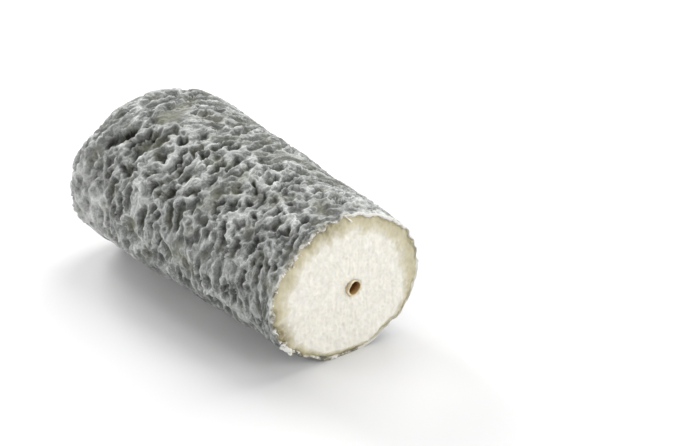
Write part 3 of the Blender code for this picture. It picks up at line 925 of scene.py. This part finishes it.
def on_rim(degrees, inward, proud):
    """A place on the cut, some way in from the rim and some way off the face."""
    start = Vector(outside[0, round(degrees / 360 * COLUMNS) % COLUMNS])
    towards = (Vector(bore_middle) - start).normalized()
    return start + towards * inward + face_out * proud


def add_crumb(place, sizes):
    """One lump: a ball of triangles, stretched to three sizes and roughened."""
    bpy.ops.object.select_all(action="DESELECT")
    bpy.ops.mesh.primitive_ico_sphere_add(subdivisions=2, radius=1.0)
    lump = bpy.context.object
    turn = Vector(crumb_rng.standard_normal(3)).normalized().to_track_quat("Z", "Y").to_matrix()
    for vertex in lump.data.vertices:
        rough = vertex.co * (1 + CRUMB_ROUGHNESS * crumb_rng.standard_normal())
        vertex.co = turn @ Vector([part * size for part, size in zip(rough, sizes)]) + place
        vertex.co.z = max(vertex.co.z, 0.0)
    lumps_made.append(lump)


print("the cut looks towards", [round(part, 2) for part in face_out])

# %% [markdown]
# ## Crumbs along the rim
# The crumbs lie close together on a few stretches of the rim, most of them tiny. Low on the left
# three larger ones make up one lump. Spread evenly all round they would look like a trim.

# %% Crumbs along the rim
# A stretch is: degrees round, spread in degrees, number of crumbs
CRUMB_STRETCHES = ((142, 9, 16), (160, 8, 8), (213, 8, 20), (122, 8, 8), (50, 22, 14), (262, 14, 7))
CRUMB_SIZES = (0.13 * MM, 0.5, 0.08 * MM)    # usual size, its spread as a power, least size
CRUMB_SHAPE = (1.0, 0.8, 0.7)
CRUMB_INWARD = 0.5 * MM
CRUMB_PROUD = 0.4                        # how far it stands off the face, as a share of its size
# A lump is: degrees round, way in from the rim, way off the face, its three sizes
LUMPS_AT_RIM = ((214, 0.0, -0.1 * MM, (1.5 * MM, 1.1 * MM, 0.7 * MM)),
                (218, 0.1 * MM, 0.0, (1.0 * MM, 0.8 * MM, 0.6 * MM)),
                (209, 0.1 * MM, 0.0, (0.6 * MM, 0.5 * MM, 0.45 * MM)))

usual, power, least = CRUMB_SIZES
for middle, spread, number in CRUMB_STRETCHES:
    for _ in range(number):
        size = usual * math.exp(power * crumb_rng.standard_normal()) + least
        inward = abs(crumb_rng.standard_normal()) * CRUMB_INWARD
        degrees = middle + spread * crumb_rng.standard_normal()
        add_crumb(on_rim(degrees, inward, CRUMB_PROUD * size), [part * size for part in CRUMB_SHAPE])
for degrees, inward, proud, sizes in LUMPS_AT_RIM:
    add_crumb(on_rim(degrees, inward, proud), sizes)
print("there are", len(lumps_made), "crumbs")

# %% [markdown]
# ## Shred at the top
# At the top a shred of skin hangs over the paste. A curve with a bevel would do, but a cone
# already tapers: it is subdivided so that it can bend, flattened, bowed away from the face and
# laid between two places on the rim.

# %% Shred at the top
SHRED_LENGTH = 3.6 * MM
SHRED_RADII = (0.42 * MM, 0.14 * MM)
SHRED_TOP = (92, -0.6 * MM, 0.5 * MM)    # degrees round, way in from the rim, way off the face
SHRED_FOOT = (86, 2.4 * MM, 0.3 * MM)
SHRED_FLATNESS = 0.6
SHRED_BOW = 0.5 * MM
bpy.ops.object.select_all(action="DESELECT")
bpy.ops.mesh.primitive_cone_add(vertices=8, radius1=SHRED_RADII[0], radius2=SHRED_RADII[1],
                                depth=SHRED_LENGTH)
shred = bpy.context.object
bpy.ops.object.mode_set(mode="EDIT")
bpy.ops.mesh.select_all(action="SELECT")
bpy.ops.mesh.subdivide(number_cuts=4)
bpy.ops.object.mode_set(mode="OBJECT")
top = on_rim(*SHRED_TOP)
foot = on_rim(*SHRED_FOOT)
turn = (top - foot).to_track_quat("Z", "Y").to_matrix()
for vertex in shred.data.vertices:
    share = vertex.co.z / SHRED_LENGTH
    bent = Vector((vertex.co.x, SHRED_FLATNESS * vertex.co.y, vertex.co.z))
    bow = face_out * SHRED_BOW * (0.25 - share ** 2)
    vertex.co = turn @ bent + (top + foot) / 2 + bow
lumps_made.append(shred)
print("the shred hangs over", round((top - foot).length / MM, 1), "mm")

# %% [markdown]
# ## One piece of crumbs
# The crumbs are one kind of thing with one finish, so they are joined into one piece. Dozens of
# loose ones would be a burden to whoever uses the model.

# %% One piece of crumbs
bpy.ops.object.select_all(action="DESELECT")
for lump in lumps_made:
    lump.select_set(True)
bpy.context.view_layer.objects.active = lumps_made[0]
bpy.ops.object.join()
crumbs = bpy.context.object
crumbs.name = "rim_crumbs"
crumbs.data.name = "rim_crumbs"
bpy.ops.object.shade_smooth()
print("rim_crumbs has", len(crumbs.data.polygons), "faces")
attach(crumbs, BODY)

# %% [markdown]
# ## Nodes for numbers
# Materials are built from nodes. In the editor they are dragged and wired. Here short helpers
# add a node, set its inputs and hand on its output, so that a material reads like a recipe. They
# take either a number or another node's socket.


# %% Nodes for numbers
def fill(tree, node, values):
    """Set or connect a node's inputs by name or number."""
    for name, value in values.items():
        if isinstance(value, bpy.types.NodeSocket):
            tree.links.new(value, node.inputs[name])
        else:
            node.inputs[name].default_value = value
    return node


def arithmetic(tree, operation, first, second=0.0):
    """One step of arithmetic on numbers or sockets."""
    node = tree.nodes.new("ShaderNodeMath")
    node.operation = operation
    return fill(tree, node, {0: first, 1: second}).outputs[0]


def stretch_to(tree, value, low, high, to_low=0.0, to_high=1.0):
    """Map a value from one range onto another, held at the ends."""
    values = {"Value": value, "From Min": low, "From Max": high, "To Min": to_low, "To Max": to_high}
    return fill(tree, tree.nodes.new("ShaderNodeMapRange"), values).outputs["Result"]


def attribute(tree, name):
    """One number a point that a piece was marked with."""
    node = tree.nodes.new("ShaderNodeAttribute")
    node.attribute_name = name
    return node.outputs["Fac"]


# %% [markdown]
# ## Nodes for colours
# Colours are laid one over another, as glazes are, and a ramp turns a number into a colour. A
# new material starts with its shader, whose roughness and gloss are the same all over.


# %% Nodes for colours
def material(name, roughness, gloss=0.5):
    """A new material with its node tree and its shader's inputs."""
    made = bpy.data.materials.new(name)
    made.use_nodes = True
    inputs = made.node_tree.nodes["Principled BSDF"].inputs
    inputs["Roughness"].default_value = roughness
    inputs["Specular IOR Level"].default_value = gloss
    return made, made.node_tree, inputs


def mixed(tree, share, first, second, kind="MIX"):
    """Mix a colour's socket with a second colour or socket."""
    node = tree.nodes.new("ShaderNodeMix")
    node.data_type = "RGBA"
    node.blend_type = kind
    if not isinstance(second, bpy.types.NodeSocket):
        second = (*second, 1.0)
    return fill(tree, node, {0: share, 6: first, 7: second}).outputs[2]


def times(tree, colour, value):
    """Make a colour darker or lighter by a number."""
    grey = fill(tree, tree.nodes.new("ShaderNodeCombineColor"),
                {"Red": value, "Green": value, "Blue": value})
    return mixed(tree, 1.0, colour, grey.outputs["Color"], "MULTIPLY")


def ramp(tree, value, stops):
    """A colour ramp from places and colours."""
    node = tree.nodes.new("ShaderNodeValToRGB")
    tree.links.new(value, node.inputs["Fac"])
    stripes = node.color_ramp.elements
    while len(stripes) < len(stops):
        stripes.new(0.5)
    for stripe, (place, colour) in zip(stripes, stops):
        stripe.position = place
        stripe.color = (*colour, 1.0)
    return node.outputs["Color"]


# %% [markdown]
# ## Grain, for every material
# Mould, curd and straw are never even: each is mottled at its own scale. That is one effect in
# four materials, so it is a node group, made once and placed with its own values. It takes a
# place on the piece, the scale and the make of the noise, and the range of the noise that is
# stretched onto a least and a most. It gives the bare noise, the stretched value, and a colour
# times that value.

# %% Grain, for every material
GRAIN_INPUTS = {"Colour": "NodeSocketColor", "Place": "NodeSocketVector"}
for name in ("Scale", "Detail", "Roughness", "Low", "High", "Least", "Most"):
    GRAIN_INPUTS[name] = "NodeSocketFloat"
GRAIN_OUTPUTS = {"Colour": "NodeSocketColor", "Value": "NodeSocketFloat", "Noise": "NodeSocketFloat"}

grain_group = bpy.data.node_groups.new("grain", "ShaderNodeTree")
for name, kind in GRAIN_INPUTS.items():
    grain_group.interface.new_socket(name, in_out="INPUT", socket_type=kind)
for name, kind in GRAIN_OUTPUTS.items():
    grain_group.interface.new_socket(name, in_out="OUTPUT", socket_type=kind)
given = grain_group.nodes.new("NodeGroupInput").outputs
texture = fill(grain_group, grain_group.nodes.new("ShaderNodeTexNoise"),
               {"Vector": given["Place"], "Scale": given["Scale"], "Detail": given["Detail"],
                "Roughness": given["Roughness"]})
noise = texture.outputs["Fac"]
stretched = stretch_to(grain_group, noise, given["Low"], given["High"], given["Least"], given["Most"])
fill(grain_group, grain_group.nodes.new("NodeGroupOutput"),
     {"Colour": times(grain_group, given["Colour"], stretched), "Value": stretched, "Noise": noise})
print("the grain group takes", list(GRAIN_INPUTS), "and gives", list(GRAIN_OUTPUTS))

# %% [markdown]
# ## Placing the grain
# A noise is read in object coordinates, so it runs through the piece as through a block, without
# seams or stretching. The scale says how many swells go into a metre, and a maker thinks in
# millimetres, so this helper turns one into the other.


# %% Placing the grain
def object_place(tree):
    """Where a point lies on the piece."""
    return tree.nodes.new("ShaderNodeTexCoord").outputs["Object"]


def grain(tree, wave, detail=2.0, rough=0.5, found=(0.0, 1.0), wanted=(0.0, 1.0), **more):
    """Place the grain group in a material; the range found becomes the range wanted."""
    node = tree.nodes.new("ShaderNodeGroup")
    node.node_tree = grain_group
    values = {"Scale": 1.0 / wave, "Detail": detail, "Roughness": rough, "Low": found[0],
              "High": found[1], "Least": wanted[0], "Most": wanted[1], **more}
    if "Place" not in more:
        values["Place"] = object_place(tree)
    return fill(tree, node, values).outputs


# %% [markdown]
# ## Painted highlight and shade along the rind's folds
# On the side of a fold that looks to the light, a thin bright line is laid as painted highlight. At
# the foot of its other side, a dark line is laid as painted shade. On the mesh such lines would be one
# face wide. The material finds them more finely: the signed bands give the distance from a fold's
# line, and how a band faces tells the two sides apart. A little grain frays the lines.

# %% Painted highlight and shade along the rind's folds
# The bright lines are painted highlight on the lit side of a fold, and the dark lines are painted
# shade at its other foot
PAINTED_LINE_STRENGTHS = {"main": 0.66, "branch": 0.46}
PAINTED_HIGHLIGHT_LINE = (-0.42, 0.46)               # distance from the fold's line, and half the width
PAINTED_SHADE_LINE = (0.98, 0.36)
PAINTED_SHADE_MORE = 1.35                         # strength of the dark lines over the bright ones
LINE_TOP = 0.15                          # share of a line's width that has its full strength
RIND_ROUGHNESS = 0.9
RIND_GLOSS = 0.25
# A grain is: size of its swells, detail, roughness, range of the noise, what that becomes
FRAY = (0.9 * MM, 3.0, 0.6, (0.3, 0.7), (-0.12, 0.12))
# A range is: low, high, what low becomes, what high becomes
FACING_LIGHT = (-0.4, 0.4, -1.0, 1.0)
ON_CREST = (0.25, 0.75, 0.1, 1.0)
OFF_PLATE = (0.1, 0.9, 1.0, 0.1)

rind_look, tree, shader = material("ash_rind", RIND_ROUGHNESS, RIND_GLOSS)
height_mark = attribute(tree, "height")
plate_mark = attribute(tree, "plate")
fray = grain(tree, *FRAY)["Value"]


def peak(value, middle, width):
    """1 where a value meets its middle, falling to 0 at a width from it."""
    off = arithmetic(tree, "ABSOLUTE", arithmetic(tree, "SUBTRACT", value, middle))
    return stretch_to(tree, off, LINE_TOP * width, width, 1.0, 0.0)


# bright gathers the painted highlight and dark gathers the painted shade of the fold lines
painted_highlight = 0.0
dark = 0.0
for size, strength in PAINTED_LINE_STRENGTHS.items():
    band = arithmetic(tree, "ADD", attribute(tree, size), fray)
    facing = stretch_to(tree, attribute(tree, size + "_facing"), *FACING_LIGHT)
    side = arithmetic(tree, "MULTIPLY", band, facing)    # below 0 on the lit side of a fold
    painted_highlight_line = arithmetic(tree, "MULTIPLY", peak(side, *PAINTED_HIGHLIGHT_LINE), strength)
    dark_line = arithmetic(tree, "MULTIPLY", peak(side, *PAINTED_SHADE_LINE), PAINTED_SHADE_MORE * strength)
    painted_highlight = arithmetic(tree, "MAXIMUM", painted_highlight_line, painted_highlight)
    dark = arithmetic(tree, "MAXIMUM", dark_line, dark)
for mark, bounds in ((height_mark, ON_CREST), (plate_mark, OFF_PLATE)):
    painted_highlight = arithmetic(tree, "MULTIPLY", painted_highlight, stretch_to(tree, mark, *bounds))
print("the rind's material has", len(tree.nodes), "nodes for its lines")

# %% [markdown]
# ## Greys of the rind
# The rind's own grey is painted darker in the hollows as painted shade and lighter on the crests as
# painted highlight. Damp patches are olive, and so is the bare skin on the smooth patch. Over that
# lies mould, thin as a cloud or white as snow. Each is laid over the last with its own mask, as a
# painter would lay glazes.

# %% Greys of the rind
# greys by fold height: darker in the hollows as painted shade, lighter on the crests as painted
# highlight
GREYS_WITH_PAINTED_SHADE_AND_HIGHLIGHT = [(0.05, (0.082, 0.087, 0.073)), (0.40, (0.229, 0.238, 0.225)), (0.85, (0.376, 0.387, 0.374))]
# colours and share of the fold lines' painted shade and painted highlight
PAINTED_SHADE_GREY = (0.043, 0.046, 0.038)
PAINTED_SHADE_SHARE = 0.50
PAINTED_HIGHLIGHT_GREY = (0.65, 0.665, 0.655)
DAMP_OLIVE = (0.202, 0.204, 0.148)
DAMP = (6 * MM, 2.0, 0.5, (0.50, 0.66), (0.0, 0.68))
DAMP_IN_HOLLOWS = (0.3, 0.8, 1.0, 0.2)
BARE_OLIVE = (0.172, 0.174, 0.126)
BARE_ON_PLATE = (0.35, 0.95, 0.0, 0.65)
MOULD_GREY = (0.60, 0.61, 0.60)
CLOUD = (2.4 * MM, 3.0, 0.55, (0.34, 0.60), (0.0, 0.75))
SNOW_WHITE = (0.84, 0.84, 0.81)
SNOW = (2.2 * MM, 4.0, 0.65, (0.42, 0.54), (0.0, 0.95))
SNOW_IN_BLOOM = (0.9, 1.6, 0.0, 1.0)

bloom_mark = attribute(tree, "bloom")
in_hollows = stretch_to(tree, height_mark, *DAMP_IN_HOLLOWS)
in_bloom = stretch_to(tree, bloom_mark, *SNOW_IN_BLOOM)
# the rind's grey, with painted shade in the hollows and painted highlight on the crests
colour = ramp(tree, height_mark, GREYS_WITH_PAINTED_SHADE_AND_HIGHLIGHT)
# the fold lines' painted shade and painted highlight are laid over the grey
colour = mixed(tree, arithmetic(tree, "MULTIPLY", dark, PAINTED_SHADE_SHARE), colour, PAINTED_SHADE_GREY)
colour = mixed(tree, painted_highlight, colour, PAINTED_HIGHLIGHT_GREY)
damp = arithmetic(tree, "MULTIPLY", grain(tree, *DAMP)["Value"], in_hollows)
colour = mixed(tree, damp, colour, DAMP_OLIVE)
colour = mixed(tree, stretch_to(tree, plate_mark, *BARE_ON_PLATE), colour, BARE_OLIVE)
cloud = arithmetic(tree, "MULTIPLY", bloom_mark, grain(tree, *CLOUD)["Value"])
colour = mixed(tree, cloud, colour, MOULD_GREY)
snow = arithmetic(tree, "MULTIPLY", grain(tree, *SNOW)["Value"], in_bloom)
colour = mixed(tree, snow, colour, SNOW_WHITE)
print("the rind's material has", len(tree.nodes), "nodes with its greys")

# %% [markdown]
# ## Torn edges, pit and rim
# The flap's torn edges are pale, the pit is darkened nearly to black as painted shade, and all of the
# rind is mottled twice, in large swells and in specks. At the knife cut the skin shows its own
# section: from dark to creamy to white, wherever the grain and the bloom put it. Each follows a mark
# on the points, so it stays on its form.

# %% Torn edges, pit and rim
TORN_WHITE = (0.80, 0.81, 0.79)
TORN_HALF_WIDTH = 0.42                   # mm
# near-black painted shade for the pit
PIT_PAINTED_SHADE = (0.012, 0.012, 0.010)
PIT_SHADE_SHARE = 0.95
MOTTLE = (7 * MM, 3.0, 0.5, (0.35, 0.65), (0.78, 1.22))
SPECK = (0.7 * MM, 3.0, 0.6, (0.33, 0.67), (0.82, 1.18))
AT_RIM = (0.15, 1.1, 1.0, 0.0)           # the first two are mm from the cut
SECTION = (2.6 * MM, 3.0, 0.6)
WHITER_IN_BLOOM = (0.0, 1.6, -0.10, 0.26)
RIM_COLOURS = [(0.36, (0.15, 0.148, 0.125)), (0.47, (0.40, 0.375, 0.29)), (0.60, (0.80, 0.79, 0.74))]

for number in range(len(EDGES)):
    off_edge = arithmetic(tree, "ADD", attribute(tree, "off_edge_" + str(number)), fray)
    line = peak(off_edge, 0.0, TORN_HALF_WIDTH)
    within = peak(attribute(tree, "along_edge_" + str(number)), 0.0, 1.0)
    colour = mixed(tree, arithmetic(tree, "MULTIPLY", line, within), colour, TORN_WHITE)
# the pit is darkened nearly to black as painted shade
pit_shade = arithmetic(tree, "MULTIPLY", attribute(tree, "pit"), PIT_SHADE_SHARE)
colour = mixed(tree, pit_shade, colour, PIT_PAINTED_SHADE)
for mottling in (MOTTLE, SPECK):
    colour = grain(tree, *mottling, Colour=colour)["Colour"]
from_knife = arithmetic(tree, "MULTIPLY", attribute(tree, "reach"), LENGTH / MM)
at_rim = stretch_to(tree, arithmetic(tree, "ADD", from_knife, fray), *AT_RIM)
whiter = stretch_to(tree, bloom_mark, *WHITER_IN_BLOOM)
section = arithmetic(tree, "ADD", grain(tree, *SECTION)["Noise"], whiter)
colour = mixed(tree, at_rim, colour, ramp(tree, section, RIM_COLOURS))
tree.links.new(colour, shader["Base Color"])
print("the rind's material has", len(tree.nodes), "nodes with its rim")

# %% [markdown]
# ## Fine relief of the rind
# The smallest relief, under half a millimetre, is left to a Bump node: it changes only how the light
# falls, and costs no faces. Grain gives the mould its nap, and the lines of painted highlight and
# painted shade also lift and sink the folds' edges.

# %% Fine relief of the rind
NAP = (0.8 * MM, 4.0, 0.6)
LINE_RELIEF = 0.6                        # height of a line, against the nap's
RIND_BUMP = (0.6, 0.28 * MM)             # strength and depth


def add_bump(tree, shader, height, strength, depth):
    """Relief that only the light sees."""
    bump = fill(tree, tree.nodes.new("ShaderNodeBump"),
                {"Height": height, "Strength": strength, "Distance": depth})
    tree.links.new(bump.outputs["Normal"], shader["Normal"])
    print("relief of", round(depth / MM, 2), "mm at strength", strength)


lines = arithmetic(tree, "MULTIPLY", arithmetic(tree, "SUBTRACT", painted_highlight, dark), LINE_RELIEF)
relief = arithmetic(tree, "ADD", grain(tree, *NAP)["Noise"], lines)
add_bump(tree, shader, relief, *RIND_BUMP)
rind.data.materials.append(rind_look)

# %% [markdown]
# ## Paste material
# Fresh goat's curd is matt and nearly white. Towards the rind it ripens, first ivory, then creamy, in
# a band that wanders. Light goes a little way into it, which the shader's subsurface weight does.
# Where the rind has stained it, it is tan, and in the worn groove by the straw a darker tan is laid as
# painted shade.

# %% Paste material
PASTE_ROUGHNESS = 0.75
PASTE_GLOSS = 0.3
PASTE_COLOURS = [(0.0, (0.45, 0.40, 0.25)), (0.10, (0.57, 0.52, 0.36)), (0.40, (0.64, 0.59, 0.425)),
                 (0.75, (0.76, 0.72, 0.595)), (1.0, (0.90, 0.87, 0.79))]
# The first colour is the rind's stain, and the second is painted shade in the worn groove by the straw
STAINS_AND_SHADE = {"tan": (0.30, 0.255, 0.15), "worn_groove_and_shade": (0.42, 0.37, 0.25)}
WANDER = (5 * MM, 2.0, 0.5, (0.3, 0.7), (-0.9, 0.9))
RIPE = (0.2, 4.2, 0.0, 1.0)
STAIN_AND_SHADE_GRAIN = (1.4 * MM, 3.0, 0.6, (0.36, 0.60), (0.35, 1.0))
CURD = (1.9 * MM, 4.0, 0.6, (0.32, 0.68), (0.90, 1.05))
STREAK = (1.1 * MM, 3.0, 0.6, (0.32, 0.68), (0.97, 1.03))
STREAK_STRETCH = (1.0, 1.0, 0.22)        # the knife's streaks are longer upwards
CRUMBS_IN_FACE = (0.7 * MM, 4.0, 0.65)
PASTE_BUMP = (0.45, 0.25 * MM)
GLOW = {"Subsurface Weight": 0.25, "Subsurface Radius": (1.0, 0.8, 0.5), "Subsurface Scale": 0.8 * MM}

paste_look, tree, shader = material("cut_paste", PASTE_ROUGHNESS, PASTE_GLOSS)
for name, value in GLOW.items():
    shader[name].default_value = value
ripe = arithmetic(tree, "ADD", attribute(tree, "under_rind"), grain(tree, *WANDER)["Value"])
colour = ramp(tree, stretch_to(tree, ripe, *RIPE), PASTE_COLOURS)
stain_and_shade_grain = grain(tree, *STAIN_AND_SHADE_GRAIN)["Value"]
# the first mark lays the rind's stain, and the second lays painted shade in the worn groove by the
# straw
for name, stain_and_shade_colour in STAINS_AND_SHADE.items():
    amount = arithmetic(tree, "MULTIPLY", attribute(tree, name), stain_and_shade_grain)
    colour = mixed(tree, amount, colour, stain_and_shade_colour)
curd = grain(tree, *CURD, Colour=colour)
upright = fill(tree, tree.nodes.new("ShaderNodeMapping"),
               {"Vector": object_place(tree), "Scale": STREAK_STRETCH}).outputs[0]
streaked = grain(tree, *STREAK, Colour=curd["Colour"], Place=upright)
tree.links.new(streaked["Colour"], shader["Base Color"])
relief = arithmetic(tree, "ADD", grain(tree, *CRUMBS_IN_FACE)["Noise"], curd["Noise"])
add_bump(tree, shader, relief, *PASTE_BUMP)
paste.data.materials.append(paste_look)

# %% [markdown]
# ## Crumb material
# The crumbs are curd or mould, so they run from cream to white. The same grain does it, through
# a ramp, since one even colour would make them look like plastic beads.

# %% Crumb material
CRUMB_COLOURS = [(0.34, (0.66, 0.61, 0.47)), (0.48, (0.88, 0.87, 0.82))]
CRUMB_GRAIN = (1.5 * MM, 3.0)
crumb_look, tree, shader = material("crumb_white", 0.8)
colour = ramp(tree, grain(tree, *CRUMB_GRAIN)["Noise"], CRUMB_COLOURS)
tree.links.new(colour, shader["Base Color"])
crumbs.data.materials.append(crumb_look)
print("rim_crumbs wears", crumb_look.name)

# %% [markdown]
# ## Straw material
# Dry straw is pale gold at its torn end and browner further in, where the cheese has stained it. In
# the bore the straw's own gold turns dark fast further in, as painted shade. A wood texture would show
# rings that straw hasn't: two ramps along its length, one outside and one in the bore, come closer.

# %% Straw material
OUTER_COLOURS = [(0.0, (0.84, 0.76, 0.58)), (0.2, (0.72, 0.58, 0.36)), (0.6, (0.42, 0.27, 0.10))]
# in the bore the colours darken fast further in: painted shade
BORE_COLOURS_AND_PAINTED_SHADE = [(0.0, (0.80, 0.66, 0.42)), (0.14, (0.62, 0.40, 0.16)),
                 (0.38, (0.26, 0.095, 0.015)), (0.7, (0.10, 0.034, 0.006))]
STAIN_AND_SHADE_REACH = 5.0                       # mm from the end over which the colours run
STRAW_GRAIN = (3 * MM, 3.0, 0.5, (0.3, 0.7), (0.75, 1.25))
straw_look, tree, shader = material("rye_straw", 0.5)
deep = stretch_to(tree, attribute(tree, "depth"), 0.0, STAIN_AND_SHADE_REACH)
colour = mixed(tree, attribute(tree, "bore"), ramp(tree, deep, OUTER_COLOURS),
               ramp(tree, deep, BORE_COLOURS_AND_PAINTED_SHADE))
colour = grain(tree, *STRAW_GRAIN, Colour=colour)["Colour"]
tree.links.new(colour, shader["Base Color"])
straw.data.materials.append(straw_look)
print("straw_tube wears", straw_look.name)

# %% [markdown]
# ## Sizes of both models
# The dressed cheese must fill the same space as the plain one, or it would not fit where the plain one
# fits. The sizes of both are printed.

# %% Print the sizes of both models
seen_low, seen_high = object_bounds()
sizes = {"cad": [list(cad_low), list(cad_high)], "visual": [list(seen_low), list(seen_high)]}
print("plain model", [round(size / MM, 1) for size in cad_high - cad_low], "mm")
print("dressed model", [round(size / MM, 1) for size in seen_high - seen_low], "mm")
